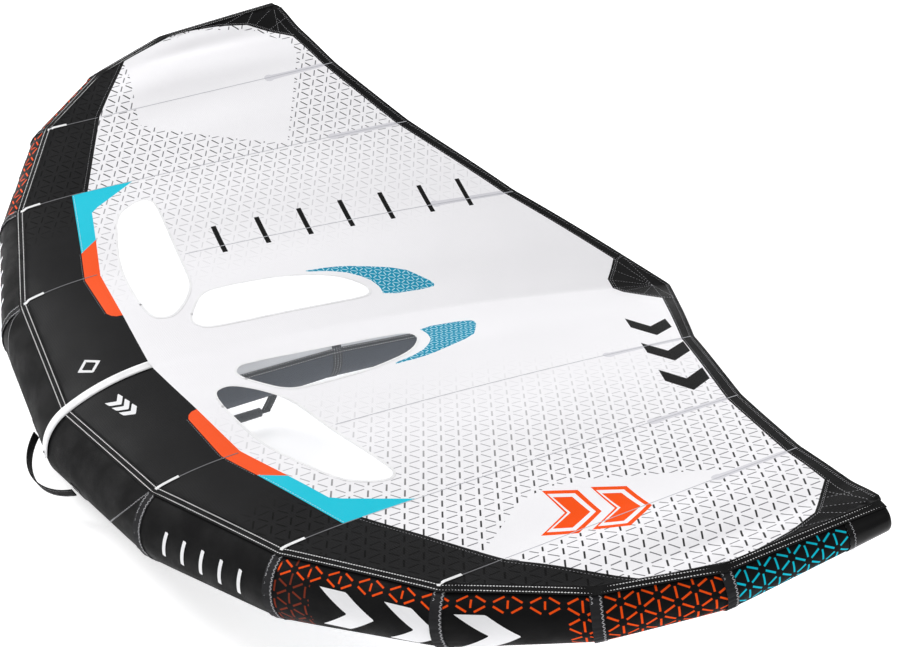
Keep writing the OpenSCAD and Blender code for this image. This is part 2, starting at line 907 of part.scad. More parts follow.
module valve_cap() {
    color("dimgray") at_valve() {
        translate([0, 0, valve_h + cap_gap]) cylinder(h = valve_cap_t, r = valve_body_r);
        translate([valve_body_r - 3, -tongue_w / 2, valve_h + 1])
            cube([lug_off - valve_body_r + 2, tongue_w, 3.2]);
        translate([lug_off, -tongue_w / 2, lug_z]) rotate([-90, 0, 0]) cylinder(h = tongue_w, r = 2.6);
        translate([lug_off, -9, lug_z]) rotate([-90, 0, 0]) cylinder(h = 18, r = pin_r);
    }
}

// ================= air hose =================

fitting_r = 9;
fitting_bore_r = 4;
hose_wall = 1.5;
tube_fitting_l = 30;
strut_fitting_l = 34;

module hose_holes() {
    hole_r = fitting_r + 0.5;
    translate([hose_x + hose_bend, hose_y - 60, hose_z]) rotate([-90, 0, 0]) cylinder(h = 60, r = hole_r);
    translate([hose_x - 60, hose_y + hose_bend, hose_z]) rotate([0, 90, 0]) cylinder(h = 60, r = hole_r);
}

module hose_fitting(l) {
    difference() {
        cylinder(h = l, r = fitting_r);
        translate([0, 0, -1]) cylinder(h = l + 2, r = fitting_bore_r);
    }
}

module hose_fittings() {
    color("gray") {
        translate([hose_x + hose_bend, hose_y - tube_fitting_l, hose_z]) rotate([-90, 0, 0])
            hose_fitting(tube_fitting_l);
        translate([hose_x - strut_fitting_l, hose_y + hose_bend, hose_z]) rotate([0, 90, 0])
            hose_fitting(strut_fitting_l);
    }
}

// a quarter turn of hose between the two fittings
module air_hose() {
    color("silver") translate([hose_x, hose_y, hose_z]) rotate_extrude(angle = 90)
        translate([hose_bend, 0]) difference() {
            circle(r = hose_r);
            circle(r = hose_r - hose_wall);
        }
}

// ================= the parts =================

stand() leading_edge_panel_1_left();
stand() leading_edge_panel_1_right();
stand() leading_edge_panel_2_left();
stand() leading_edge_panel_2_right();
stand() leading_edge_panel_3_left();
stand() leading_edge_panel_3_right();
stand() leading_edge_panel_4_left();
stand() leading_edge_panel_4_right();
stand() leading_edge_panel_5_left();
stand() leading_edge_panel_5_right();
stand() leading_edge_panel_6_left();
stand() leading_edge_panel_6_right();
stand() leading_edge_gussets();
stand() tip_cap_left();
stand() tip_cap_right();
stand() leading_edge_bladder();
stand() segment_seam_tapes();
stand() canopy_seam_tape();
stand() centre_strip();
stand() front_band_left();
stand() front_band_right();
stand() orange_accents();
stand() cyan_accents();
stand() centre_gore_left();
stand() centre_gore_right();
stand() middle_gore_left();
stand() middle_gore_right();
stand() outer_gore_left();
stand() outer_gore_right();
stand() tip_gore_left();
stand() tip_gore_right();
stand() front_window_left();
stand() front_window_right();
stand() rear_window_left();
stand() rear_window_right();
stand() window_accents();
stand() trailing_band_left();
stand() trailing_band_right();
stand() trailing_centre_patch();
stand() tip_patch_left();
stand() tip_patch_right();
stand() battens();
stand() strut_top_panel();
stand() strut_lower_casing();
stand() strut_bladder();
stand() strut_tail_cap();
stand() front_handle_strap();
stand() front_handle_grip();
stand() rear_handle_strap();
stand() rear_handle_grip();
stand() handle_anchor_patches();
stand() nose_handle_strap();
stand() nose_handle_patches();
stand() valve_body();
stand() valve_check_disc();
stand() valve_cap();
stand() air_hose();
stand() hose_fittings();
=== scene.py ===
"""Looks of the inflatable hand wing: sewn cloth, film, webbing, foam, stitching, floor, light and camera.

The wing is described in its own chord frame in millimetres, as its CAD source does: the canopy seam at the
middle of the leading edge is the zero point, Y runs back along the chord and X out along the span.
placed() turns that into the frame's metres. Left is +X."""

import math

import bpy
import numpy as np
from mathutils import Matrix, Vector
from mathutils.geometry import delaunay_2d_cdt


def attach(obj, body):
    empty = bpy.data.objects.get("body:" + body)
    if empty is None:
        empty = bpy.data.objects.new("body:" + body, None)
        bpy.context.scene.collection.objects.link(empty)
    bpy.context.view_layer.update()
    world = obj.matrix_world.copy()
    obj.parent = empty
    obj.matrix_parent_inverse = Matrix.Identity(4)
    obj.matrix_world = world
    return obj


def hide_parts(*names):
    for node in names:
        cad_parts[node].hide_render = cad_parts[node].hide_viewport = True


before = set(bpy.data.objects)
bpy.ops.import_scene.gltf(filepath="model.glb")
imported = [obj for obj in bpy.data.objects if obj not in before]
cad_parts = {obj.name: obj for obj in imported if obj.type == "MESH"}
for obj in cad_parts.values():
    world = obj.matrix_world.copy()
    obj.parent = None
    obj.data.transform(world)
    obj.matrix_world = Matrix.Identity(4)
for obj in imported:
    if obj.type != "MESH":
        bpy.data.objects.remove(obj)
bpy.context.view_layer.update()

# ================= the wing's stations =================

SEAM = np.array([[0, 0, 0], [443, 48, 47], [826, 174, 110], [1149, 370, 190],
                 [1345, 604, 254], [1439, 842, 307], [1457, 1236, 373]], float)
REAR = np.array([[0, 1829, 0], [448, 1552, 134], [827, 1392, 218], [1141, 1295, 293],
                 [1301, 1267, 334], [1400, 1251, 358], [1440, 1245, 369]], float)
RADIUS = 115.5 * np.array([1, 0.9, 0.77, 0.632, 0.52, 0.416, 0.286])
SEAM_ANGLE = np.array([61, 68, 76, 83, 90, 97, 104], float)
RISE = 89 * np.array([1, 0.416, 0.135, 0, 0, 0, 0])
LAST = len(SEAM) - 1
HUMP_AT = 0.3
PITCH = math.radians(4.8)
DEPTH_MIDDLE = 856
FLOOR_Z = -212.85
CANOPY_OFF = 3.2
CLOTH_T = 1.0
UP = np.array([0.0, 0.0, 1.0])


def placed(points):
    """Chord-frame millimetres to the frame's metres, kept off the floor."""
    p = np.asarray(points, float).reshape(-1, 3)
    y = p[:, 1] * math.cos(PITCH) + p[:, 2] * math.sin(PITCH) - DEPTH_MIDDLE
    z = p[:, 2] * math.cos(PITCH) - p[:, 1] * math.sin(PITCH) - FLOOR_Z
    return np.stack([p[:, 0], y, np.maximum(z, 0.0)], axis=1) / 1000


def turned(vectors):
    """Directions in the chord frame, turned into the frame."""
    v = np.asarray(vectors, float).reshape(-1, 3)
    y = v[:, 1] * math.cos(PITCH) + v[:, 2] * math.sin(PITCH)
    z = v[:, 2] * math.cos(PITCH) - v[:, 1] * math.sin(PITCH)
    return np.stack([v[:, 0], y, z], axis=1)


def unit(v):
    v = np.asarray(v, float)
    return v / np.maximum(np.linalg.norm(v, axis=-1, keepdims=True), 1e-12)


def flipped(points, side):
    """Points of the left half, mirrored where side is -1."""
    return np.asarray(points, float) * np.array([side, 1, 1])


def smooth_step(a, b, x):
    t = np.clip((np.asarray(x, float) - a) / (b - a), 0, 1)
    return t * t * (3 - 2 * t)


def distances(path):
    """Length along a path from its start to each of its points."""
    return np.concatenate([[0], np.cumsum(np.linalg.norm(np.diff(path, axis=0), axis=1))])


# ================= leading edge surface =================

SEAM_DIR = unit(np.diff(SEAM, axis=0))


def ring_frame(i):
    """Direction of the seam, up and ahead at station i."""
    if i == 0:
        d = np.array([1.0, 0, 0])
    elif i == LAST:
        d = SEAM_DIR[-1]
    else:
        d = unit(SEAM_DIR[i - 1] + SEAM_DIR[i])
    up = unit(UP - d * d[2])
    return d, up, np.cross(d, up)


def way(ahead, up, angle):
    """Unit direction at an angle from ahead towards up."""
    a = np.radians(np.asarray(angle, float))[..., None]
    return np.cos(a) * ahead + np.sin(a) * up


def tube_middles():
    """Middle of the tube at each station, from the seam that it carries."""
    middles = []
    for i in range(LAST + 1):
        _, up, ahead = ring_frame(i)
        middles.append(SEAM[i] - RADIUS[i] * way(ahead, up, SEAM_ANGLE[i]))
    return np.array(middles)


TUBE_C = tube_middles()
LEG_DIR = unit(np.diff(TUBE_C, axis=0))
TUBE_N = np.array([[1.0, 0, 0]] + [unit(LEG_DIR[i - 1] + LEG_DIR[i]) for i in range(1, LAST)] + [LEG_DIR[-1]])
ALONG = distances(SEAM)


def leg_way(i, angle):
    up = unit(UP - LEG_DIR[i] * LEG_DIR[i][2])
    return way(np.cross(LEG_DIR[i], up), up, angle)


def on_ring(i, angle):
    """Points at the plane of ring i, shared by the two legs that meet there."""
    found = []
    for leg in (i - 1, i):
        if 0 <= leg < LAST:
            w = leg_way(leg, angle)
            p = TUBE_C[leg] + RADIUS[leg] * w
            q = TUBE_C[leg + 1] + RADIUS[leg + 1] * w
            t = ((TUBE_C[i] - p) @ TUBE_N[i]) / ((q - p) @ TUBE_N[i])
            found.append(p + t[..., None] * (q - p))
    return np.mean(found, axis=0)


def edge_surface(w, angle, off=0.0, inflated=True):
    """Points on the leading edge tube: w runs from 0 at the middle to 6 at the tip, angle is from straight
    ahead towards the top, off is the height above the cloth."""
    w, angle = np.broadcast_arrays(np.asarray(w, float), np.asarray(angle, float))
    leg = np.clip(w.astype(int), 0, LAST - 1)
    t = w - leg
    rings = np.array([on_ring(i, angle) for i in range(LAST + 1)])
    index = np.indices(w.shape)
    p = rings[(leg, *index)] * (1 - t)[..., None] + rings[(leg + 1, *index)] * t[..., None]
    middle = TUBE_C[leg] * (1 - t)[..., None] + TUBE_C[leg + 1] * t[..., None]
    out = p - middle
    out -= (out * LEG_DIR[leg]).sum(-1, keepdims=True) * LEG_DIR[leg]
    lift = np.asarray(off, float)
    if inflated:
        room = np.minimum(t, 1 - t) * np.diff(ALONG)[leg]
        room = np.where((leg == 0), (1 - t) * ALONG[1], room)
        a = np.radians(angle)
        pucker = np.sin(a * 23 + w * 5) * 0.55 + np.sin(a * 37 + w * 11) * 0.35 + np.sin(a * 13 - w * 7) * 0.4
        lift = lift + 1.9 * (1 - np.exp(-room / 22)) - 1.2 + pucker * np.exp(-room / 26) * 0.8
    return p + unit(out) * lift[..., None]


def radius_at(w):
    return np.interp(w, np.arange(LAST + 1), RADIUS)


def seam_angle_at(w):
    return np.interp(w, np.arange(LAST + 1), SEAM_ANGLE)


def edge_angle(w, forward):
    """The angle that lies that many millimetres of cloth in front of the canopy seam."""
    return seam_angle_at(w) - np.degrees(forward / radius_at(w))


def station_at(distance):
    """w at a distance along the canopy seam from the middle."""
    return np.interp(distance, ALONG, np.arange(LAST + 1))


# ================= canopy surface =================


def natural_spline(x, y):
    """Function through the points that is smooth across the span."""
    n = len(x)
    h = np.diff(x)
    a = np.zeros((n, n))
    b = np.zeros(n)
    a[0, 0] = a[-1, -1] = 1
    for i in range(1, n - 1):
        a[i, i - 1], a[i, i], a[i, i + 1] = h[i - 1], 2 * (h[i - 1] + h[i]), h[i]
        b[i] = 6 * ((y[i + 1] - y[i]) / h[i] - (y[i] - y[i - 1]) / h[i - 1])
    m = np.linalg.solve(a, b)

    def at(v):
        i = np.clip(np.searchsorted(x, v, side="right") - 1, 0, n - 2)
        u, r = v - x[i], x[i + 1] - v
        return (m[i] * r**3 + m[i + 1] * u**3) / (6 * h[i]) + (y[i] / h[i] - m[i] * h[i] / 6) * r \
            + (y[i + 1] / h[i] - m[i + 1] * h[i] / 6) * u

    return at


def hump(s):
    """Share of the rise at s, with the top at HUMP_AT."""
    front = 1 - (1 - s / HUMP_AT) ** 4
    rear = 1 - ((s - HUMP_AT) / (1 - HUMP_AT)) ** 2
    return np.where(s < HUMP_AT, front, rear)


RINGS = np.arange(LAST + 1, dtype=float)
SPAN_X = (SEAM[:, 0] + REAR[:, 0]) / 2
seam_z_smooth = natural_spline(SPAN_X, SEAM[:, 2])
rear_z_smooth = natural_spline(SPAN_X, REAR[:, 2])
rise_smooth = natural_spline(SPAN_X, RISE)


def to_station(x, y):
    """(w, s) of plan points on one half: w across the span, s from the front edge to the rear edge."""
    w = np.interp(x, SEAM[:, 0], RINGS)
    s = np.full_like(w, 0.5)
    front_run, back_run = np.diff(SEAM[:, 0]), np.diff(REAR[:, 0])
    for _ in range(50):
        front_x, front_y = np.interp(w, RINGS, SEAM[:, 0]), np.interp(w, RINGS, SEAM[:, 1])
        back_x, back_y = np.interp(w, RINGS, REAR[:, 0]), np.interp(w, RINGS, REAR[:, 1])
        s = np.clip((y - front_y) / np.maximum(back_y - front_y, 5), 0, 1)
        leg = np.clip(w.astype(int), 0, LAST - 1)
        slope = np.maximum((1 - s) * front_run[leg] + s * back_run[leg], 40)
        w = np.clip(w + 0.7 * (x - (front_x + s * (back_x - front_x))) / slope, 0, LAST)
    return w, s


def canopy_point(plan, off=0.0):
    """Points on the canopy over plan points (x, y) of either half."""
    plan = np.asarray(plan, float).reshape(-1, 2)
    x, y = np.abs(plan[:, 0]), plan[:, 1]
    w, s = to_station(x, y)
    straight = np.interp(w, RINGS, SEAM[:, 2]) * (1 - s) + np.interp(w, RINGS, REAR[:, 2]) * s \
        + np.interp(w, RINGS, RISE) * hump(s)
    span = np.clip(x, 0, SPAN_X[-1])
    curved = seam_z_smooth(span) * (1 - s) + rear_z_smooth(span) * s + rise_smooth(span) * hump(s)
    share = smooth_step(0.05, 0.4, s) * smooth_step(1420, 1330, x)
    z = straight * (1 - share) + curved * share
    gore = np.clip(w, 0, 3.999)
    billow = np.sin(np.pi * (gore - gore.astype(int))) ** 2 * np.sin(np.pi * np.clip(s, 0, 1)) * 5.0
    z = z + billow * smooth_step(1400, 1200, x) * smooth_step(60, 240, x)
    return np.stack([plan[:, 0], y, z + CANOPY_OFF + 1.0 + off], axis=1)


def canopy_normal(plan):
    """Unit normals of the canopy over plan points."""
    plan = np.asarray(plan, float).reshape(-1, 2)
    d = 3.0
    dx = canopy_point(plan + [d, 0]) - canopy_point(plan - [d, 0])
    dy = canopy_point(plan + [0, d]) - canopy_point(plan - [0, d])
    return unit(np.cross(dx, dy))


# ================= mesh helpers =================


def mesh_object(name, points, faces, materials, indices=None, uvs=None, normals=None, body="wing",
                metres=False):
    """A smooth shaded mesh that rides on a body. uvs and normals are one per point."""
    co = np.asarray(points, float) if metres else placed(points)
    me = bpy.data.meshes.new(name)
    me.from_pydata(co.tolist(), [], [list(map(int, f)) for f in faces])
    for m in materials:
        me.materials.append(m)
    if indices is not None:
        me.polygons.foreach_set("material_index", np.asarray(indices, np.int32))
    me.polygons.foreach_set("use_smooth", np.ones(len(me.polygons), bool))
    loops = np.zeros(len(me.loops), np.int32)
    me.loops.foreach_get("vertex_index", loops)
    if uvs is not None:
        layer = me.uv_layers.new(name="cloth")
        layer.data.foreach_set("uv", np.asarray(uvs, np.float32)[loops].ravel())
    if normals is not None:
        me.normals_split_custom_set(np.asarray(normals)[loops].tolist())
    me.validate(clean_customdata=False)
    me.update()
    ob = bpy.data.objects.new(name, me)
    bpy.context.scene.collection.objects.link(ob)
    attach(ob, body)
    return ob


def grid_faces(rows, columns, closed=False):
    faces = []
    last = columns if closed else columns - 1
    for i in range(rows - 1):
        for j in range(last):
            k = (j + 1) % columns
            faces.append((i * columns + j, i * columns + k, (i + 1) * columns + k, (i + 1) * columns + j))
    return faces


def fan(start, sides, tip, flip=False):
    """Faces from a ring of points, which begins at start, to one tip point."""
    pairs = [(start + j, start + (j + 1) % sides) for j in range(sides)]
    return [(b, a, tip) if flip else (a, b, tip) for a, b in pairs]


def resampled(path, step, closed=False):
    """Points every step along a polyline of any dimension."""
    p = np.asarray(path, float)
    if closed:
        p = np.vstack([p, p[:1]])
    along = distances(p)
    count = max(2, int(round(along[-1] / step)) + 1)
    at = np.linspace(0, along[-1], count)
    out = np.stack([np.interp(at, along, p[:, k]) for k in range(p.shape[1])], axis=1)
    return out[:-1] if closed else out


def rounded(outline, times=2):
    """A closed outline with its corners cut round."""
    p = np.asarray(outline, float)
    for _ in range(times):
        q = np.roll(p, -1, axis=0)
        p = np.stack([0.75 * p + 0.25 * q, 0.25 * p + 0.75 * q], axis=1).reshape(-1, 2)
    return p


def inside(points, outline):
    """True for each plan point that lies in the closed outline."""
    x, y = points[:, 0], points[:, 1]
    hit = np.zeros(len(points), bool)
    a = np.asarray(outline, float)
    b = np.roll(a, -1, axis=0)
    for (x0, y0), (x1, y1) in zip(a, b):
        if y0 != y1:
            crosses = (y0 > y) != (y1 > y)
            hit ^= crosses & (x < (x1 - x0) * (y - y0) / (y1 - y0) + x0)
    return hit


class Beads:
    """Many small sewn stitches in one mesh: each is a long eight-sided bead lying on the cloth."""

    def __init__(self):
        self.points, self.faces = [], []

    def stitch(self, a, b, normal, width, height):
        a, b, n = np.asarray(a), np.asarray(b), np.asarray(normal)
        d = b - a
        across = unit(np.cross(d, n)) * width / 2
        middle = (a + b) / 2
        base = len(self.points)
        self.points += [a, b, middle + across, middle - across]
        self.points += [middle + n * height, middle - n * height * 0.5]
        for i, j in ((2, 4), (4, 3), (3, 5), (5, 2)):
            self.faces += [(base, base + i, base + j), (base + 1, base + j, base + i)]

    def row(self, path, normals, length=4.6, pitch=6.4, width=1.7, height=0.7):
        """Running stitches along a 3-D path."""
        joined = resampled(np.hstack([path, normals]), pitch)
        for k in range(len(joined) - 1):
            p, q = joined[k, :3], joined[k + 1, :3]
            self.stitch(p, p + (q - p) * length / pitch, unit(joined[k, 3:]), width, height)

    def zigzag(self, path, normals, reach=3.0, pitch=3.4, width=1.3, height=0.6):
        """Zigzag stitches along a 3-D path."""
        joined = resampled(np.hstack([path, normals]), pitch)
        p, n = joined[:, :3], unit(joined[:, 3:])
        across = unit(np.cross(np.gradient(p, axis=0), n)) * reach
        p = p + across * np.where(np.arange(len(p)) % 2, 1, -1)[:, None]
        for k in range(len(p) - 1):
            self.stitch(p[k], p[k + 1], n[k], width, height)

    def build(self, name, material, body="wing"):
        ob = mesh_object(name, self.points, self.faces, [material], body=body)
        ob.data.polygons.foreach_set("use_smooth", np.zeros(len(ob.data.polygons), bool))
        return ob


def strip(path, normals, width, thickness, uv_scale=0.001):
    """Points, faces and uvs of a closed flat strip along a 3-D path."""
    p, n = np.asarray(path, float), unit(normals)
    across = unit(np.cross(np.gradient(p, axis=0), n)) * width / 2
    rows = np.stack([p - across, p - across + n * thickness, p + across + n * thickness, p + across], axis=1)
    count = len(p)
    faces = grid_faces(count, 4, closed=True)
    faces += [(3, 2, 1, 0), tuple((count - 1) * 4 + j for j in range(4))]
    along = distances(p)
    uv = np.stack([np.repeat(along, 4), np.tile([0, 0, width, width], count)], axis=1) * uv_scale
    return rows.reshape(-1, 3), faces, uv


class Strips:
    """Several strips gathered in one mesh."""

    def __init__(self):
        self.points, self.faces, self.uvs = [], [], []

    def add(self, path, normals, width, thickness):
        base = len(self.points)
        p, f, uv = strip(path, normals, width, thickness)
        self.points += list(p)
        self.uvs += list(uv)
        self.faces += [tuple(base + i for i in face) for face in f]

    def build(self, name, material, body="wing"):
        ob = mesh_object(name, self.points, self.faces, [material], uvs=self.uvs, body=body)
        ob.data.polygons.foreach_set("use_smooth", np.zeros(len(ob.data.polygons), bool))
        return ob


# ================= materials =================


def colour(r, g, b):
    """A linear colour from screen values of 0 to 255."""
    found = []
    for c in (r, g, b):
        c = c / 255
        found.append(c / 12.92 if c <= 0.04045 else ((c + 0.055) / 1.055) ** 2.4)
    return (*found, 1.0)


class Finish:
    """A node material under construction. Coordinates are the cloth's own, in metres."""

    def __init__(self, name, base, roughness=0.6, **sockets):
        self.material = bpy.data.materials.new(name)
        self.material.use_nodes = True
        self.tree = self.material.node_tree
        self.shader = self.tree.nodes["Principled BSDF"]
        self.base = base
        self.shader.inputs["Base Color"].default_value = base
        self.shader.inputs["Roughness"].default_value = roughness
        for key, value in sockets.items():
            self.shader.inputs[key.replace("_", " ")].default_value = value
        self.material.diffuse_color = base
        self.height = None
        self.uv = None

    def node(self, kind, **values):
        n = self.tree.nodes.new(kind)
        for key, value in values.items():
            setattr(n, key, value)
        return n

    def link(self, a, b):
        self.tree.links.new(a, b)

    def math(self, what, *inputs, clamp=False):
        n = self.node("ShaderNodeMath", operation=what, use_clamp=clamp)
        for k, value in enumerate(inputs):
            if isinstance(value, (int, float)):
                n.inputs[k].default_value = value
            else:
                self.link(value, n.inputs[k])
        return n.outputs[0]

    def ramp(self, value, low, high, to_low=0.0, to_high=1.0):
        """value mapped smoothly from low..high to to_low..to_high."""
        n = self.node("ShaderNodeMapRange", interpolation_type="SMOOTHSTEP")
        self.link(value, n.inputs["Value"])
        for key, v in (("From Min", low), ("From Max", high), ("To Min", to_low), ("To Max", to_high)):
            n.inputs[key].default_value = v
        return n.outputs["Result"]

    def coordinates(self):
        """(x, y, vector) of the cloth."""
        if self.uv is None:
            uv = self.node("ShaderNodeUVMap", uv_map="cloth")
            parts = self.node("ShaderNodeSeparateXYZ")
            self.link(uv.outputs[0], parts.inputs[0])
            self.uv = (parts.outputs[0], parts.outputs[1], uv.outputs[0])
        return self.uv

    def object_vector(self):
        return self.node("ShaderNodeTexCoord").outputs["Object"]

    def noise(self, scale, detail=3.0, vector=None, stretch=None):
        n = self.node("ShaderNodeTexNoise")
        n.inputs["Scale"].default_value = scale
        n.inputs["Detail"].default_value = detail
        vector = self.object_vector() if vector is None else vector
        if stretch:
            m = self.node("ShaderNodeMapping")
            m.inputs["Scale"].default_value = stretch
            self.link(vector, m.inputs[0])
            vector = m.outputs[0]
        self.link(vector, n.inputs["Vector"])
        return n.outputs["Fac"]

    def paint(self, share, tint):
        """Mixes tint over what the base colour is so far, where share is 1."""
        mix = self.node("ShaderNodeMix", data_type="RGBA")
        mix.inputs[0].default_value = 0
        self.link(share, mix.inputs[0])
        before = self.shader.inputs["Base Color"]
        if before.is_linked:
            self.link(before.links[0].from_socket, mix.inputs[6])
        else:
            mix.inputs[6].default_value = before.default_value
        mix.inputs[7].default_value = tint
        self.link(mix.outputs[2], before)

    def mottle(self, amount, scale=9.0, tint=None):
        """Soft uneven tone over the whole piece."""
        dark = tint or tuple(c * 0.72 for c in self.base[:3]) + (1.0,)
        self.paint(self.math("MULTIPLY", self.ramp(self.noise(scale), 0.35, 0.75), amount), dark)

    def vary_roughness(self, low, high, scale=14.0):
        self.link(self.ramp(self.noise(scale, 4.0), 0.3, 0.7, low, high), self.shader.inputs["Roughness"])

    def raise_by(self, value, metres):
        """Adds a height to the bump."""
        scaled = self.math("MULTIPLY", value, metres)
        self.height = scaled if self.height is None else self.math("ADD", self.height, scaled)

    def threads(self, value, pitch, sharp=0.5):
        """A wave of 0 to 1 that repeats every pitch metres of value."""
        phase = self.math("MULTIPLY", value, 2 * math.pi / pitch)
        wave = self.math("MULTIPLY_ADD", self.math("SINE", phase), 0.5, 0.5)
        return self.math("POWER", wave, sharp)

    def weave(self, pitch_x, pitch_y, metres):
        x, y, _ = self.coordinates()
        self.raise_by(self.threads(x, pitch_x), metres)
        self.raise_by(self.threads(y, pitch_y), metres)

    def ripstop(self, pitch, metres):
        """Thicker threads in a square grid."""
        x, y, _ = self.coordinates()
        for value in (x, y):
            self.raise_by(self.threads(value, pitch, 14.0), metres)

    def dashes(self, edge, width, share, angle, soft=0.0005, lift=0.0):
        """Dashes along one direction of a triangular grid of that edge length."""
        x, y, _ = self.coordinates()
        y = self.math("ADD", y, lift)
        c, s = math.cos(math.radians(angle)), math.sin(math.radians(angle))
        along = self.math("ADD", self.math("MULTIPLY", x, c), self.math("MULTIPLY", y, s))
        across = self.math("SUBTRACT", self.math("MULTIPLY", y, c), self.math("MULTIPLY", x, s))
        h = edge * math.sqrt(3) / 2
        row = self.math("ROUND", self.math("DIVIDE", across, h))
        off = self.math("ABSOLUTE", self.math("SUBTRACT", across, self.math("MULTIPLY", row, h)))
        shift = self.math("ADD", self.math("DIVIDE", along, edge), self.math("MULTIPLY", row, 0.5))
        mid = self.math("ABSOLUTE", self.math("SUBTRACT", self.math("FRACT", shift), 0.5))
        thin = self.ramp(off, width / 2 - soft, width / 2 + soft, 1, 0)
        short = self.ramp(mid, share / 2 - soft / edge, share / 2 + soft / edge, 1, 0)
        return self.math("MULTIPLY", thin, short)

    def done(self, distance=1.0, strength=1.0):
        if self.height is not None:
            bump = self.node("ShaderNodeBump")
            bump.inputs["Strength"].default_value = strength
            bump.inputs["Distance"].default_value = distance
            self.link(self.height, bump.inputs["Height"])
            self.link(bump.outputs[0], self.shader.inputs["Normal"])
        return self.material


BLACK = colour(11, 11, 12)
ORANGE = colour(255, 84, 6)
CYAN = colour(0, 203, 227)
WHITE = colour(250, 249, 252)
TUBE_GRID = 0.042
CANOPY_GRID = 0.047


def tube_cloth(name, base=BLACK, lattice=None, rows=None, column=None):
    """Woven polyester of the tube, with a printed grid of dashes where lattice is a colour. rows keeps one
    row of it, and column = (start, end, colour) adds the whole grid over a stretch of the seam, in metres."""
    f = Finish(name, base, 0.6, Specular_IOR_Level=0.1)
    f.mottle(0.3, 7.0, tuple(c * 1.5 for c in base[:3]) + (1.0,))
    f.weave(0.0022, 0.0022, 0.00022)
    f.raise_by(f.noise(3.2, 5.0), 0.004)
    f.vary_roughness(0.5, 0.72)
    if lattice:
        x, y, _ = f.coordinates()
        lift = rows[0] if rows else 0.0
        for angle in (30, 90, 150):
            mask = f.dashes(TUBE_GRID, 0.0042, 0.58, angle, lift=lift)
            if column:
                start, end, tint = column
                along = f.math("MULTIPLY", f.ramp(x, start, start + 0.001), f.ramp(x, end, end + 0.001, 1, 0))
                f.paint(f.math("MULTIPLY", mask, along), tint)
            if rows:
                centre = TUBE_GRID * 1.5 - lift
                reach = TUBE_GRID * (0.2 if angle == 90 else 0.5)
                apart = f.math("ABSOLUTE", f.math("SUBTRACT", y, centre))
                mask = f.math("MULTIPLY", mask, f.ramp(apart, reach - 0.0004, reach + 0.0004, 1, 0))
            f.paint(mask, lattice)
    return f.done()


def print_on_tube(name, base):
    f = Finish(name, base, 0.6, Specular_IOR_Level=0.08)
    f.mottle(0.18, 11.0)
    f.weave(0.0022, 0.0022, 0.00018)
    return f.done()


def ripstop_cloth(name, base, grid=0.0, dark=None, light=None, fade=None, shine=0.2):
    """Canopy cloth. With grid it has printed dashes: dark along one direction and light along two."""
    f = Finish(name, base, 0.46, Specular_IOR_Level=shine)
    f.mottle(0.06, 2.2)
    f.ripstop(0.0055, 0.00016)
    f.weave(0.0011, 0.0011, 0.00004)
    f.raise_by(f.noise(2.4, 4.0), 0.006)
    f.raise_by(f.noise(11.0, 3.0, stretch=(1.0, 0.35, 1.0)), 0.0012)
    f.vary_roughness(0.4, 0.56, 5.0)
    if grid:
        x, y, _ = f.coordinates()
        visible = f.ramp(f.math("ADD", x, f.math("MULTIPLY", y, -0.12)), *fade) if fade else 1.0
        for angle, tint, width in ((-30, dark, 0.0042), (30, light, 0.0034), (90, light, 0.0034)):
            f.paint(f.math("MULTIPLY", f.dashes(grid, width, 0.56, angle), visible), tint)
    return f.done()


def dash_patch(name, base, tint, grid):
    """Small bright piece with a fine pattern of pale dashes."""
    f = Finish(name, base, 0.5, Specular_IOR_Level=0.12)
    f.mottle(0.2, 8.0)
    f.ripstop(0.0055, 0.00016)
    for angle in (0, 60, 120):
        f.paint(f.math("MULTIPLY", f.dashes(grid, 0.0034, 0.6, angle), 0.8), tint)
    return f.done()


def film():
    """Clear film of the windows."""
    f = Finish("clear_window_film", colour(214, 220, 226), 0.07, Alpha=0.06, Specular_IOR_Level=0.18)
    f.raise_by(f.noise(3.0, 3.0), 0.006)
    f.raise_by(f.noise(16.0, 2.0), 0.0006)
    return f.done()


def webbing(name, base):
    f = Finish(name, base, 0.7, Specular_IOR_Level=0.2)
    x, y, _ = f.coordinates()
    f.raise_by(f.threads(f.math("ADD", x, y), 0.0026), 0.0005)
    f.raise_by(f.threads(f.math("SUBTRACT", x, y), 0.0026), 0.0005)
    f.mottle(0.4, 60.0, tuple(min(1, c * 1.6 + 0.002) for c in base[:3]) + (1.0,))
    f.vary_roughness(0.6, 0.82, 60.0)
    return f.done()


def foam(name, base):
    f = Finish(name, base, 0.82, Sheen_Weight=0.2)
    f.raise_by(f.noise(420.0, 2.0), 0.0006)
    f.raise_by(f.noise(90.0, 4.0), 0.0007)
    f.mottle(0.5, 45.0, colour(58, 58, 61))
    f.vary_roughness(0.72, 0.92, 60.0)
    return f.done()


def plastic(name, base, roughness=0.4, grain=0.00012):
    f = Finish(name, base, roughness, Specular_IOR_Level=0.5)
    f.raise_by(f.noise(700.0, 2.0), grain)
    f.mottle(0.25, 70.0)
    f.vary_roughness(roughness - 0.08, roughness + 0.12, 50.0)
    return f.done()


def rubber(name, base):
    f = Finish(name, base, 0.6)
    f.raise_by(f.noise(260.0, 3.0), 0.0003)
    f.mottle(0.3, 90.0)
    f.vary_roughness(0.5, 0.72, 60.0)
    return f.done()


def bladder_film(name):
    f = Finish(name, colour(205, 216, 224), 0.28, Coat_Weight=0.3)
    f.raise_by(f.noise(26.0, 4.0), 0.0012)
    f.mottle(0.2, 12.0)
    f.vary_roughness(0.2, 0.4, 20.0)
    return f.done()


def thread(name, base):
    f = Finish(name, base, 0.6, Sheen_Weight=0.2)
    f.mottle(0.35, 160.0)
    f.raise_by(f.noise(900.0, 2.0), 0.0001)
    return f.done()


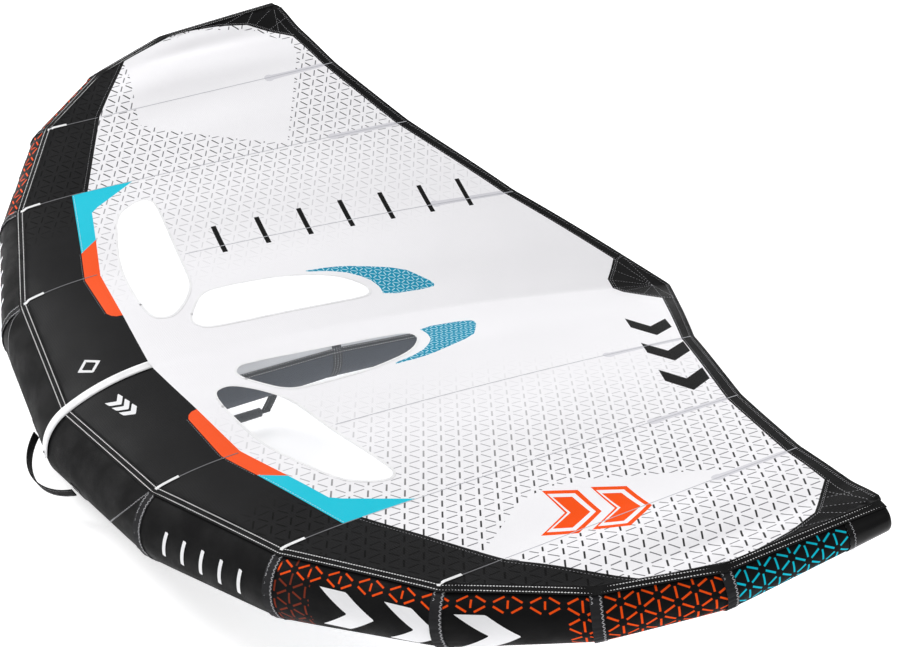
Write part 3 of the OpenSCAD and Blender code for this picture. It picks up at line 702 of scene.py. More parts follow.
def tape(name, base):
    f = Finish(name, base, 0.65, Specular_IOR_Level=0.1)
    f.weave(0.0016, 0.0016, 0.0002)
    f.mottle(0.3, 30.0)
    f.vary_roughness(0.5, 0.7, 30.0)
    return f.done()


def glossy_cap():
    f = Finish("tip_cap_gloss", colour(3, 3, 4), 0.26, Specular_IOR_Level=0.16)
    f.mottle(0.3, 20.0, colour(12, 12, 13))
    f.raise_by(f.noise(7.0, 3.0), 0.0035)
    f.vary_roughness(0.16, 0.32, 9.0)
    return f.done()


M = {
    "tube": tube_cloth("tube_dacron"),
    "tube_orange": tube_cloth("tube_dacron_orange_dashes", lattice=ORANGE),
    "tube_cyan": tube_cloth("tube_dacron_cyan_dashes", lattice=CYAN),
    "tube_edge": tube_cloth("tube_dacron_dash_row", lattice=ORANGE, rows=(0.019,),
                            column=(0.868, 0.955, colour(122, 44, 22))),
    "tube_edge_outer": tube_cloth("tube_dacron_dash_row_outer", lattice=ORANGE, rows=(0.019,),
                                  column=(1.497, 1.55, ORANGE)),
    "cap": glossy_cap(),
    "white_print": print_on_tube("white_print", colour(246, 246, 248)),
    "orange_print": print_on_tube("orange_print", ORANGE),
    "black_print": print_on_tube("black_print", colour(16, 16, 17)),
    "white": ripstop_cloth("white_ripstop_dashes", WHITE, CANOPY_GRID, colour(26, 26, 28),
                           colour(112, 112, 117), (0.17, 0.95)),
    "plain": ripstop_cloth("white_ripstop", WHITE),
    # painted shade: white cloth made greyer where the battens under it show through as shade
    "batten_shade": ripstop_cloth("painted_batten_shade", colour(222, 221, 227)),
    "band": ripstop_cloth("black_ripstop_dashes", colour(30, 30, 31), CANOPY_GRID, colour(4, 4, 4),
                          colour(5, 5, 5), (0.6, 0.72), 0.05),
    "black": ripstop_cloth("black_ripstop", colour(18, 18, 19), shine=0.05),
    "orange": ripstop_cloth("orange_ripstop", ORANGE),
    "cyan": ripstop_cloth("cyan_ripstop", CYAN),
    "teal": dash_patch("teal_ripstop", colour(0, 146, 182), colour(190, 236, 246), 0.026),
    "film": film(),
    "dark_casing": tube_cloth("grey_dacron", colour(56, 60, 69)),
    "light_casing": tube_cloth("white_dacron", colour(232, 234, 236)),
    "seam_tape": tape("black_seam_tape", colour(13, 13, 14)),
    "grey_tape": tape("grey_seam_tape", colour(42, 42, 44)),
    "grey_tape_thin": tape("grey_seam_thread", colour(128, 128, 131)),
    "white_tape": tape("white_tape", colour(252, 252, 253)),
    "batten": plastic("batten_strip", colour(196, 197, 203), 0.45),
    "white_thread": thread("white_thread", colour(252, 252, 253)),
    "grey_thread": thread("grey_thread", colour(186, 186, 190)),
    "webbing": webbing("black_webbing", colour(13, 13, 14)),
    "foam": foam("grip_foam", colour(34, 35, 37)),
    "plastic": plastic("valve_plastic", colour(58, 60, 63)),
    "rubber": rubber("valve_rubber", colour(200, 74, 40)),
    "bladder": bladder_film("bladder_film"),
    "hose": bladder_film("hose_film"),
}

# ================= leading edge pieces =================

ROUND = 120
PANEL_STEP = 9
BLADDER_LOW = 0.004


def tube_panel(name, first, last, side, material, nodes):
    """A tapered length of the tube's casing between two stations."""
    length = np.interp(last, RINGS, ALONG) - np.interp(first, RINGS, ALONG)
    count = max(8, int(length / PANEL_STEP))
    w = np.linspace(first, last, count)
    angles = np.linspace(0, 360, ROUND, endpoint=False)
    ww, aa = np.meshgrid(w, angles, indexing="ij")
    p = flipped(edge_surface(ww, aa).reshape(-1, 3), side)
    forward = (np.mod(seam_angle_at(ww) - aa, 360)) * math.pi / 180 * radius_at(ww)
    uv = np.stack([np.interp(ww, RINGS, ALONG).ravel(), forward.ravel()], axis=1) / 1000
    faces = grid_faces(count, ROUND, closed=True)
    if side < 0:
        faces = [f[::-1] for f in faces]
    ob = mesh_object(name, p, faces, [material], uvs=uv)
    fix_wrapped_uv(ob)
    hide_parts(*nodes)
    return ob


def fix_wrapped_uv(ob):
    """Faces that cross the start of the round keep one run of coordinates."""
    layer = ob.data.uv_layers["cloth"].data
    for poly in ob.data.polygons:
        vs = [layer[i].uv[1] for i in poly.loop_indices]
        high = max(vs)
        if high - min(vs) > 0.1:
            for i in poly.loop_indices:
                if layer[i].uv[1] < high - 0.1:
                    layer[i].uv[1] += high


SIDES = (("left", 1), ("right", -1))
CAP_LEN = 110
CAP_FROM = LAST - CAP_LEN / np.linalg.norm(TUBE_C[LAST] - TUBE_C[LAST - 1])
GUSSET_RUN = 250


def build_tube():
    """The tube's casing: six tapered panels on each half."""
    looks = {1: "tube", 2: "tube", 3: "tube_edge", 4: "tube_edge_outer", 5: "tube_orange", 6: "tube_cyan"}
    for word, side in SIDES:
        for k in range(1, 7):
            end = CAP_FROM if k == 6 else k
            names = [f"leading_edge_panel_{k}_{word}"]
            if k == 1 and side > 0:
                names.append("leading_edge_gussets")
            ob = tube_panel(f"edge_panel_{k}_{word}", k - 1, end, side, M[looks[k]], names)


def build_tip_caps():
    """Glossy sleeve that closes each end of the tube, with a flat disc sewn in."""
    for word, side in SIDES:
        w = np.concatenate([np.linspace(CAP_FROM, 5.985, 14), [5.993, 6.0]])
        lift = np.concatenate([np.full(14, 2.4), [1.0, -3.0]])
        angles = np.linspace(0, 360, ROUND, endpoint=False)
        rows = [edge_surface(np.full(ROUND, a), angles, b, inflated=False) for a, b in zip(w, lift)]
        centre = TUBE_C[LAST]
        for shrink in (0.82, 0.5, 0.2):
            rows.append(centre + (rows[15] - centre) * shrink + TUBE_N[LAST] * 1.2 * (1 - shrink))
        p = flipped(np.vstack(rows + [centre[None] + TUBE_N[LAST] * 1.2]), side)
        count = len(rows)
        faces = grid_faces(count, ROUND, closed=True)
        tip = count * ROUND
        faces += fan(tip - ROUND, ROUND, tip)
        if side < 0:
            faces = [f[::-1] for f in faces]
        ob = mesh_object(f"end_cap_{word}", p, faces, [M["cap"]])
        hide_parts(f"tip_cap_{word}")


def bladder(name, rings, node):
    """A closed film tube through rings of points, kept just off the floor."""
    count, sides = len(rings), len(rings[0])
    ends = [r.mean(axis=0)[None] for r in (rings[0], rings[-1])]
    co = placed(np.vstack(rings + ends))
    co[:, 2] = np.maximum(co[:, 2], BLADDER_LOW)
    first, final = count * sides, count * sides + 1
    faces = grid_faces(count, sides, closed=True)
    faces += fan(0, sides, first, flip=True) + fan(first - sides, sides, final)
    ob = mesh_object(name, co, faces, [M["bladder"]], metres=True)
    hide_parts(node)


def build_edge_bladder():
    angles = np.linspace(0, 360, 48, endpoint=False)
    stations = np.linspace(0, LAST - 0.03, 60)
    half = [edge_surface(np.full(48, w), angles, -6.5, inflated=False) for w in stations]
    bladder("edge_bladder", [flipped(r, -1) for r in half[:0:-1]] + half, "leading_edge_bladder")


def edge_path(w, angle, off, side):
    """A line on the tube with the direction away from it at each point."""
    p = edge_surface(w, angle, off)
    return flipped(p, side), flipped(unit(edge_surface(w, angle, off + 5) - p), side)


def ring_line(i, shift, off, side, turn=(0, 360)):
    """A line round the tube beside ring i, shift millimetres outboard of it."""
    angles = np.linspace(*turn, 160)
    leg = i if shift > 0 else i - 1
    w = i + shift / np.diff(ALONG)[leg]
    return edge_path(np.full(160, w), angles, off, side)


RING_TAPE_W, RING_TAPE_T = 27, 0.9
FRONT_TAPE_W, FRONT_TAPE_T, FRONT_TAPE_AHEAD = 24, 1.3, 11
GUSSET_TURN = (-230, 65)


def build_edge_trim(white, grey):
    """Tapes round the joints of the tube and in front of the canopy, with their stitching."""
    tapes = Strips()
    seam = Strips()
    for _, side in SIDES:
        for i in range(1, LAST):
            path, normals = ring_line(i, 0.01, 0.7, side)
            tapes.add(path, normals, RING_TAPE_W, RING_TAPE_T)
            for shift in (-9, 9):
                path, normals = ring_line(i, shift, 1.9, side)
                grey.zigzag(path, normals, reach=3.4, pitch=4.6, width=2.3)
        # slanted joint of the wedge gusset
        angles = np.linspace(*GUSSET_TURN, 150)
        slant = 1 - (1 - np.sin(np.radians(angles - SEAM_ANGLE[1] + 90))) / 2 * GUSSET_RUN / ALONG[1] - 0.02
        path, normals = edge_path(slant, angles, 0.9, side)
        grey.zigzag(path, normals, reach=2.6, pitch=4.2, width=1.8)
        # tape and double stitching in front of the canopy
        w = np.linspace(0.035, LAST - 0.005, 420)
        path, normals = edge_path(w, edge_angle(w, FRONT_TAPE_AHEAD), 2.2, side)
        seam.add(path, normals, FRONT_TAPE_W, FRONT_TAPE_T)
        for forward in (5, 17):
            path, normals = edge_path(w, edge_angle(w, forward), 3.7, side)
            white.row(path, normals, length=6.2, pitch=6.6, width=3.2, height=0.9)
        angles = np.linspace(0, 360, 90)
        path, normals = edge_path(np.full(90, CAP_FROM + 0.03), angles, 3.2, side)
        grey.zigzag(path, normals, reach=2.6, pitch=4.2, width=1.6)
    ob = tapes.build("segment_tapes", M["grey_tape"])
    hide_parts("segment_seam_tapes")
    ob = seam.build("canopy_front_tape", M["seam_tape"])
    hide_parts("canopy_seam_tape")


def decal(name, shapes, surface, material, body="wing", grid=14.0):
    """Printed shapes: closed outlines laid on a surface function that takes plan points."""
    points, faces, uvs = [], [], []
    for outline in shapes:
        edge = resampled(outline, 6.0, closed=True)
        low, high = edge.min(axis=0), edge.max(axis=0)
        inner = np.stack(np.meshgrid(np.arange(low[0], high[0], grid), np.arange(low[1], high[1], grid)), -1)
        inner = inner.reshape(-1, 2)
        inner = inner[inside(inner, edge)]
        co = np.vstack([edge, inner])
        loop = list(range(len(edge)))
        out, _, tris, *_ = delaunay_2d_cdt([Vector(v) for v in co], [], [loop], 1, 0.01)
        out = np.array([list(v) for v in out])
        base = len(points)
        points += list(surface(out))
        uvs += list(out / 1000)
        faces += [tuple(base + i for i in f) for f in tris]
    return mesh_object(name, points, faces, [material], uvs=uvs, body=body)


def edge_print(name, shapes, side, material, off=1.0):
    """Print on the tube. Shapes are in millimetres along the seam from the middle and forward of it."""

    def surface(plan):
        w = station_at(plan[:, 0])
        return flipped(edge_surface(w, edge_angle(w, plan[:, 1]), off), side)

    ob = decal(name, shapes, surface, material)
    facing = [f.normal.dot(Vector((0, -1, 0.2))) for f in ob.data.polygons]
    if sum(facing) < 0:
        ob.data.flip_normals()
    return ob


def slanted(x, y, width, height, lean):
    """A leaning bar: lower left corner, size and lean in millimetres."""
    return [(x, y), (x + width, y), (x + width + lean, y + height), (x + lean, y + height)]


def arrow(x, y, width, height, thick):
    """A thick chevron that points along +X."""
    tip = width - thick
    return [(x, y), (x + thick, y), (x + width, y + height / 2), (x + thick, y + height),
            (x, y + height), (x + tip, y + height / 2)]


# ================= canopy pieces =================

BAND = [[0, -60], [1650, -60], [1650, 900], [1452, 900], [1378, 687], [1149, 518], [825, 358], [824, 312],
        [552, 237], [435, 203], [262, 196], [247, 203], [238, 214], [235, 229], [0, 208]]
ORANGE_ZONE = [[262, 196], [435, 203], [552, 237], [594, 294], [438, 247], [235, 229], [238, 214], [247, 203]]
CYAN_ZONE = [[552, 237], [824, 312], [825, 358], [824, 491], [740, 355], [720, 331], [594, 294]]
FRONT_WINDOW = [[195, 284], [350, 292], [470, 312], [565, 343], [675, 385], [715, 440], [728, 483],
                [712, 503], [685, 508], [405, 468], [305, 450], [245, 415], [187, 362], [172, 326]]
REAR_WINDOW = [[140, 373], [200, 412], [246, 450], [262, 494], [258, 640], [248, 715], [212, 832],
               [152, 890], [118, 893], [98, 865], [97, 640], [92, 420], [104, 390]]
ACCENT = [[256, 735], [250, 840], [236, 900], [192, 1028], [150, 1062], [112, 1087], [92, 1074],
          [92, 918], [130, 926], [175, 912], [226, 850]]
REAR_BAND = [[122, 1705], [448, 1512], [829, 1349], [1143, 1256], [1303, 1223], [1296, 1268], [1285, 1500],
             [148, 2100], [148, 1760]]
REAR_PATCH = [[0, 1622], [40, 1630], [80, 1668], [122, 1705], [148, 1760], [148, 2100], [0, 2100]]
TIP_PATCH = [[1303, 1223], [1378, 1137], [1402, 1108], [1427, 1025], [1436, 960], [1442, 900],
             [1650, 900], [1650, 1500], [1285, 1500], [1296, 1268]]
BLANK_NEAR = [[1078, 520], [1150, 452], [1158, 745], [1146, 1128], [1090, 1060], [985, 868], [948, 760],
              [962, 672]]
BLANK_FAR = [[1374, 690], [1417, 783], [1432, 957], [1375, 1120], [1270, 1205], [1215, 1196], [1020, 1088],
             [841, 987], [890, 886], [965, 758], [1072, 612]]
PIECES = ["front_band", "orange", "cyan", "centre_gore", "middle_gore", "outer_gore", "tip_gore",
          "front_window", "rear_window", "accent", "rear_band", "rear_patch", "tip_patch"]
GORE_SEAMS = (445, 826, 1145)


def mirror_plan(outline, side):
    return np.asarray(outline, float) * np.array([side, 1])


def canopy_outline():
    """Outline of the whole sheet in plan."""
    half = np.vstack([SEAM[:, :2], REAR[::-1, :2]])
    return np.vstack([half, mirror_plan(half[-2:0:-1], -1)])


def batten_shade_outlines():
    """Outlines of the batten pockets, where the shade of the battens seen through the white cloth is painted
    as greyer cloth.
    """
    marks = []
    for x, start, x_end, end in ((447, 1262, 447, 1560), (826, 1118, 826, 1390), (1146, 1052, 1143, 1290)):
        marks.append([(x - 9, end), (x_end - 9, start + 30), (x_end - 16, start + 16), (x_end - 9, start),
                      (x_end + 9, start), (x_end + 16, start + 16), (x_end + 9, start + 30), (x + 9, end)])
    return marks


NEAR_MARK = np.array([246, 1478])
NEAR_TURN = math.radians(-24)


def canopy_prints():
    """Zones on the cloth, as (outline, material): print, and painted shade where the battens show through it;
    later ones lie over earlier ones.
    """
    prints = [(mirror_plan(BLANK_NEAR, 1), "plain"), (mirror_plan(BLANK_FAR, -1), "plain")]
    # painted shade of the battens seen through the cloth, not print
    for mark in batten_shade_outlines():
        prints += [(rounded(mirror_plan(mark, side), 1), "batten_shade") for side in (1, -1)]
    # dark chevrons near the rear edge, an even row of bars on the right half, outlined chevrons on the left
    for k in range(3):
        at = NEAR_MARK + np.array([math.cos(NEAR_TURN), math.sin(NEAR_TURN)]) * k * 190
        prints.append((turn_plan(arrow(0, 0, 136, 112, 72), at, math.degrees(NEAR_TURN)), "black_print"))
    for k in range(7):
        prints.append((turn_plan(slanted(0, 0, 15, 122, 17), (-415, 590 + 131 * k), 90), "black_print"))
    for k in range(2):
        at = (1112 + 50 * k, 628 + 94 * k)
        for inset, look in ((0, "orange_print"), (12, "plain"), (24, "orange_print")):
            outer = arrow(inset, inset * 1.2, 128 - 2 * inset, 190 - 2.4 * inset, 78 - 1.5 * inset)
            prints.append((turn_plan(outer, at, 56), look))
    return prints


def turn_plan(outline, at, degrees):
    c, s = math.cos(math.radians(degrees)), math.sin(math.radians(degrees))
    p = np.asarray(outline, float)
    return np.stack([p[:, 0] * c - p[:, 1] * s + at[0], p[:, 0] * s + p[:, 1] * c + at[1]], axis=1)


GRID_STEP = 15.0


def canopy_mesh():
    """One sheet cut along every seam and print: plan points, triangles, and the piece and print of each."""
    border = resampled(canopy_outline(), 10.0, closed=True)
    zones = []
    for name, outline, soft in (("front_band", BAND, 0), ("orange", ORANGE_ZONE, 0), ("cyan", CYAN_ZONE, 0),
                                ("rear_band", REAR_BAND, 0), ("tip_patch", TIP_PATCH, 0),
                                ("rear_patch", REAR_PATCH, 0), ("front_window", FRONT_WINDOW, 2),
                                ("rear_window", REAR_WINDOW, 2), ("accent", ACCENT, 1)):
        for side in (1, -1):
            shape = mirror_plan(outline, side)
            zones.append((name, side, rounded(shape, soft) if soft else shape))
    prints = canopy_prints()
    xs = np.arange(-1470, 1471, GRID_STEP)
    ys = np.arange(0, 1850, GRID_STEP * 0.9)
    gx, gy = np.meshgrid(xs, ys)
    gx = gx + (np.arange(len(ys)) % 2)[:, None] * GRID_STEP / 2
    grid = np.stack([gx.ravel(), gy.ravel()], axis=1)
    grid = grid[inside(grid, border)]
    points, edges = [], []

    def add_line(line, closed=True):
        base = sum(len(p) for p in points)
        points.append(line)
        n = len(line)
        edges.extend((base + k, base + (k + 1) % n) for k in range(n if closed else n - 1))

    add_line(border)
    for _, _, outline in zones:
        add_line(resampled_with_corners(outline, 10.0))
    for outline, _ in prints:
        add_line(resampled_with_corners(np.asarray(outline), 10.0))
    for x in (0, *GORE_SEAMS):
        for side in (1, -1) if x else (1,):
            line = np.stack([np.full(190, side * x, float), np.linspace(-50, 1880, 190)], axis=1)
            add_line(line, closed=False)
    co = np.vstack(points)
    keep = far_from(grid, co, 5.5)
    co = np.vstack([co, grid[keep]])
    out, _, tris, *_ = delaunay_2d_cdt([Vector(v) for v in co], edges, [], 0, 0.05)
    out = np.array([list(v) for v in out])
    tris = np.array([list(t) for t in tris])
    mid = out[tris].mean(axis=1)
    flat = out[tris]
    size = np.abs(np.cross(flat[:, 1] - flat[:, 0], flat[:, 2] - flat[:, 0]))
    keep = inside(mid, border) & (size > 0.02)
    tris, mid = tris[keep], mid[keep]
    x = np.abs(mid[:, 0])
    piece = np.select([x < GORE_SEAMS[0], x < GORE_SEAMS[1], x < GORE_SEAMS[2]], [3, 4, 5], 6)
    for name, _, outline in zones:
        piece[inside(mid, outline)] = PIECES.index(name)
    look = np.full(len(mid), -1)
    for k, (outline, _) in enumerate(prints):
        hit = inside(mid, outline) & (piece >= 3) & (piece <= 6)
        look[hit] = k
    return out, tris, piece, look, [p[1] for p in prints]


def resampled_with_corners(outline, step):
    """A closed outline with points every step or less and its own corners kept."""
    p = np.asarray(outline, float)
    found = []
    for a, b in zip(p, np.roll(p, -1, axis=0)):
        count = max(1, int(math.ceil(np.linalg.norm(b - a) / step)))
        found += [a + (b - a) * k / count for k in range(count)]
    return np.array(found)


def far_from(points, others, distance):
    """True for points with none of the others within distance, by a coarse grid."""
    cells = {}
    for q in others:
        cells.setdefault((int(q[0] // distance), int(q[1] // distance)), []).append(q)
    keep = np.ones(len(points), bool)
    for k, p in enumerate(points):
        i, j = int(p[0] // distance), int(p[1] // distance)
        for a in (i - 1, i, i + 1):
            for b in (j - 1, j, j + 1):
                if any((p[0] - q[0]) ** 2 + (p[1] - q[1]) ** 2 < distance**2 for q in cells.get((a, b), ())):
                    keep[k] = False
    return keep


LOOKS = {"front_band": ("band", "black_ripstop"), "orange": ("orange", "orange_ripstop"),
         "cyan": ("cyan", "cyan_ripstop"), "centre_gore": ("white", "white_ripstop"),
         "middle_gore": ("white", "white_ripstop"), "outer_gore": ("white", "white_ripstop"),
         "tip_gore": ("white", "white_ripstop"), "front_window": ("film", "window_film"),
         "rear_window": ("film", "window_film"), "accent": ("teal", "teal_ripstop"),
         "rear_band": ("black", "black_ripstop"), "rear_patch": ("black", "black_ripstop"),
         "tip_patch": ("black", "black_ripstop")}
NODE_OF = {"front_band": "front_band", "centre_gore": "centre_gore", "middle_gore": "middle_gore",
           "outer_gore": "outer_gore", "tip_gore": "tip_gore", "front_window": "front_window",
           "rear_window": "rear_window", "rear_band": "trailing_band", "tip_patch": "tip_patch"}

LONG_PIECES = ("front_band", "rear_band")
SHARED_NODES = {"orange": "orange_accents", "cyan": "cyan_accents", "accent": "window_accents",
                "rear_patch": "trailing_centre_patch"}


def build_canopy():
    """Every sewn piece of the sheet, cut from one mesh."""
    plan, tris, piece, look, look_names = canopy_mesh()
    top = placed(canopy_point(plan, CLOTH_T / 2))
    a, b, c = (top[tris[:, k]] for k in range(3))
    face_normal = np.cross(b - a, c - a)
    tris[face_normal[:, 2] < 0] = tris[face_normal[:, 2] < 0][:, ::-1]
    normals = turned(canopy_normal(plan))
    low = top - normals * CLOTH_T / 1000
    uv = np.stack([np.abs(plan[:, 0]), plan[:, 1]], axis=1) / 1000
    mid = plan[tris].mean(axis=1)
    gore = np.searchsorted(GORE_SEAMS, np.abs(mid[:, 0]))
    for index, name in enumerate(PIECES):
        for word, side in SIDES:
            mine = (piece == index) & (mid[:, 0] * side > 0)
            node = SHARED_NODES.get(name, f"{NODE_OF.get(name)}_{word}")
            parts = np.unique(gore[mine]) if name in LONG_PIECES else [None]
            for part in parts:
                chosen = mine if part is None else mine & (gore == part)
                label = f"sail_{name}_{word}" if part is None else f"sail_{name}_{part + 1}_{word}"
                ob = cloth_piece(label, tris[chosen], look[chosen], look_names, top, low, normals, uv,
                                 LOOKS[name][0])
                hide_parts(node)


def flat_size(points, area):
    """(width, length) in metres of the smallest rectangle of cloth that the piece is cut from."""
    p = points - points.mean(axis=0)
    axes = np.linalg.svd(p, full_matrices=False)[2][:2]
    q = p @ axes.T
    best = None
    for turn in np.radians(np.arange(0, 90, 3)):
        c, s = math.cos(turn), math.sin(turn)
        size = np.ptp(q @ np.array([[c, -s], [s, c]]), axis=0)
        if best is None or size.prod() < best.prod():
            best = size
    grow = 1.01 * max(1.0, math.sqrt(area / best.prod()))
    return float(best.min() * grow), float(best.max() * grow)


def cloth_piece(label, tris, look, look_names, top, low, normals, uv, material):
    """A sewn piece of the sheet as a thin closed solid, with the whole sheet's own smooth normals."""
    used, inverse = np.unique(tris, return_inverse=True)
    faces = inverse.reshape(-1, 3)
    n = len(used)
    edges = {(int(f[k]), int(f[(k + 1) % 3])) for f in faces for k in range(3)}
    wall = [(j, i, i + n, j + n) for i, j in edges if (j, i) not in edges]
    all_faces = [tuple(f) for f in faces] + [tuple(int(v) + n for v in f[::-1]) for f in faces] + wall
    names = [material]
    index = [0] * len(faces)
    if material == "white":
        names += list(dict.fromkeys(look_names))
        index = [names.index(look_names[k]) if k >= 0 else 0 for k in look]
    points = np.vstack([top[used], low[used]])
    both = np.vstack([normals[used], -normals[used]])
    ob = mesh_object(label, points, all_faces, [M[k] for k in names], indices=index + index + [0] * len(wall),
                     uvs=np.vstack([uv[used], uv[used]]), normals=both, metres=True)
    area = float(np.linalg.norm(np.cross(top[tris[:, 1]] - top[tris[:, 0]],
                                         top[tris[:, 2]] - top[tris[:, 0]]), axis=1).sum() / 2)
    width, length = flat_size(top[used], area)
    return ob


def canopy_line(plan, off=1.6):
    """A path on top of the canopy with its normals."""
    plan = np.asarray(plan, float)
    return canopy_point(plan, off), canopy_normal(plan)


def sew(beads, plan, length, pitch, width, off=0.8):
    """Running stitches along a line of plan points on the canopy."""
    path, normals = canopy_line(plan, off)
    beads.row(path, normals, length=length, pitch=pitch, width=width)


REAR_PATCH_APEX = (0, 1766)
REAR_PATCH_SEAM = [[0, 1629], [38, 1637], [76, 1674], [118, 1712], [143, 1764]]
TIP_PATCH_SEAM = [[1309, 1226], [1383, 1142], [1408, 1111], [1433, 1027], [1441, 965]]
TIP_PATCH_LINES = (((1392, 1134), (1448, 1218)), ((1427, 1040), (1452, 1120)), ((1340, 1192), (1448, 1222)),
                   ((1408, 1112), (1451, 1150)), ((1360, 1166), (1395, 1248)), ((1310, 1226), (1400, 1212)))
SEAM_RUNS = ((52, 1545, 248, 490), (178, 1385, 358, 0), (372, 1288, 514, 0))
BAND_SEAM = [[1440, 880], [1382, 684], [1153, 514], [829, 354]]


def build_band_prints():
    """Small white marks beside the centre strip: a plain diamond and three short chevrons."""
    marks = diamond_ring(-92, 84, 30, 19)
    marks += [turn_plan(arrow(0, 0, 42, 38, 20), (66 + 30 * k, 64 + 6 * k), 14) for k in range(3)]
    ob = decal("band_marks", marks, lambda p: canopy_point(p, 1.1), M["white_print"])


def build_canopy_trim(white, grey):
    borders = Strips()
    seams = Strips()
    faint = Strips()
    hems = Strips()
    ticks = Strips()
    for _, side in SIDES:
        for outline in (FRONT_WINDOW, REAR_WINDOW):
            loop = resampled(rounded(mirror_plan(outline, side)), 8.0, closed=True)
            loop = np.vstack([loop, loop[:2]])
            path, normals = canopy_line(loop, 0.5)
            borders.add(path, normals, 7, 0.7)
        for x, (front, back, band_end, window_end) in zip(GORE_SEAMS, SEAM_RUNS):
            line = np.stack([np.full(120, side * x, float), np.linspace(front, back, 120)], axis=1)
            path, normals = canopy_line(line, 0.5)
            dark = line[:, 1] < band_end
            seams.add(path[dark], normals[dark], 2.6, 0.5)
            pale = line[:, 1] > max(band_end, window_end)
            faint.add(path[pale], normals[pale], 2.2, 0.4)
            tick = np.stack([np.full(6, side * x, float), np.linspace(front + 1, front + 42, 6)], axis=1)
            path, normals = canopy_line(tick, 1.9)
            w = float(np.interp(x, SEAM[:, 0], RINGS))
            start, start_normals = edge_path(np.full(4, w), edge_angle(w, np.linspace(9, 2, 4)), 3.7, side)
            ticks.add(np.vstack([start, path]), np.vstack([start_normals, normals]), 8, 0.8)
        rear = resampled(mirror_plan(REAR[:, :2], side), 14.0)
        path, normals = canopy_line(rear - [0, 4], 0.5)
        hems.add(path, normals, 9, 0.8)
        for inset in (9, 13):
            sew(grey, rear - [0, inset], 5, 8, 1.3, off=0.9)
        sew(grey, resampled(mirror_plan(REAR_BAND[0:5], side), 12.0) + [0, 5], 5, 8, 1.3)
        # rear patch: fan of reinforcing stitch lines
        for x, y in ((122, 1705), (80, 1668), (36, 1629), (148, 1742), (0, 1622)):
            sew(grey, resampled([REAR_PATCH_APEX, (side * x, y)], 10.0), 6, 9, 1.4)
        edge = resampled(mirror_plan(REAR_PATCH_SEAM, side), 8.0)
        for inset in (0, 7):
            sew(grey, edge + [0, inset], 5, 8, 1.4)
        # tip patch: crossing lines and a double row along its edge
        for inset in (0, 5):
            sew(grey, resampled(mirror_plan(TIP_PATCH_SEAM, side) + [0, inset], 8.0), 5, 8, 1.4)
        for ends in TIP_PATCH_LINES:
            sew(grey, mirror_plan(resampled(ends, 10.0), side), 6, 9, 1.4)
        # edges of the black band
        sew(grey, resampled(mirror_plan(BAND_SEAM, side), 10.0) + [0, -6], 5, 8, 1.3)
        sew(white, resampled(mirror_plan([[552, 241], [824, 316]], side), 10.0), 6, 8, 1.5, off=0.9)
        front = mirror_plan([[262, 192], [435, 199], [552, 233]], side)
        sew(grey, resampled(front, 10.0), 5, 8, 1.3, off=0.9)
    ob = borders.build("window_borders", M["white_tape"])
    ob = seams.build("gore_seams", M["grey_tape_thin"])
    ob = faint.build("gore_seams_pale", M["batten"])
    ob = hems.build("rear_hem", M["seam_tape"])
    ob = ticks.build("seam_ticks", M["white_tape"])


def build_battens():
    """Flat strips in pockets under the seams near the rear edge."""
    strips = Strips()
    for _, side in SIDES:
        for x, start, end in ((446, 1262, 1530), (826, 1118, 1375), (1145, 1052, 1275)):
            line = np.stack([np.full(30, side * x, float), np.linspace(start, end, 30)], axis=1)
            p, n = canopy_point(line, -3.8), canopy_normal(line)
            strips.add(p, n, 16, 1.8)
    ob = strips.build("batten_strips", M["batten"])
    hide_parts("battens")


STRIP_HALF = 14.5
STRIP_END = (14.2, 12.8, 9.4, 3.2)
STRIP_LEAN = np.array([0, 0.10, 0.11])
STRIP_SECTION = ((-1, 0), (-1, 1.4), (-0.5, 1.9), (0, 2.0), (0.5, 1.9), (1, 1.4), (1, 0))


def build_centre_strip():
    """White webbing from the white cloth over the top of the tube to the nose, with a rounded end."""
    plan = [(0, y) for y in np.linspace(206, 2, 22)]
    p = list(canopy_point(plan, 1.6))
    n = list(canopy_normal(plan))
    for angle in np.linspace(59, -12, 26):
        q = edge_surface(0.0, angle, 4.2, inflated=False)
        p.append(q)
        n.append(unit(q - TUBE_C[0]))
    p, n = np.array(p), unit(n)
    half = np.full(len(p), STRIP_HALF)
    half[-4:] = STRIP_END
    rows = []
    for k in range(len(p)):
        for across, lift in STRIP_SECTION:
            x = across * half[k]
            rows.append(p[k] + [x, 0, 0] + abs(x) * STRIP_LEAN + n[k] * lift)
    faces = grid_faces(len(p), 7)
    faces += [tuple(range(6, -1, -1)), tuple((len(p) - 1) * 7 + j for j in range(7))]
    faces += [((k + 1) * 7, k * 7, k * 7 + 6, (k + 1) * 7 + 6) for k in range(len(p) - 1)]
    along = distances(p)
    uv = np.stack([np.repeat(along, 7), np.tile(np.linspace(0, 26, 7), len(p))], axis=1) / 1000
    ob = mesh_object("centre_webbing", rows, faces, [M["white_tape"]], uvs=uv)
    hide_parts("centre_strip")
    # small rivet at its end
    q = p[-4] + n[-4] * 2
    ring = [q + (math.cos(t) * np.array([3.2, 0, 0]) + math.sin(t) * np.cross(n[-4], [3.2, 0, 0])) for t in
            np.linspace(0, 2 * math.pi, 16, endpoint=False)]
    top = [v + n[-4] * 1.2 for v in ring]
    points = ring + top + [q + n[-4] * 1.8]
    faces = [(j, (j + 1) % 16, 16 + (j + 1) % 16, 16 + j) for j in range(16)]
    faces += fan(16, 16, 32) + [tuple(range(15, -1, -1))]
    mesh_object("centre_webbing_stud", points, faces, [M["plastic"]])


# ================= strut =================

STRUT_Y = np.array([120, 700, 1260, 1818], float)


def strut_centre_z(y):
    return 89 * hump(np.asarray(y, float) / REAR[0, 1]) + CANOPY_OFF - 1.4


FLOOR_AT_TAIL = (FLOOR_Z + STRUT_Y[3] * math.sin(PITCH)) / math.cos(PITCH)
TAIL_R = (float(strut_centre_z(STRUT_Y[3])) - FLOOR_AT_TAIL + 3) / 2
STRUT_R = np.array([84, 70.56, 52.08, TAIL_R])
STRUT_C = strut_centre_z(STRUT_Y) - STRUT_R
SPLIT = 30
CAP_SIDES = 72


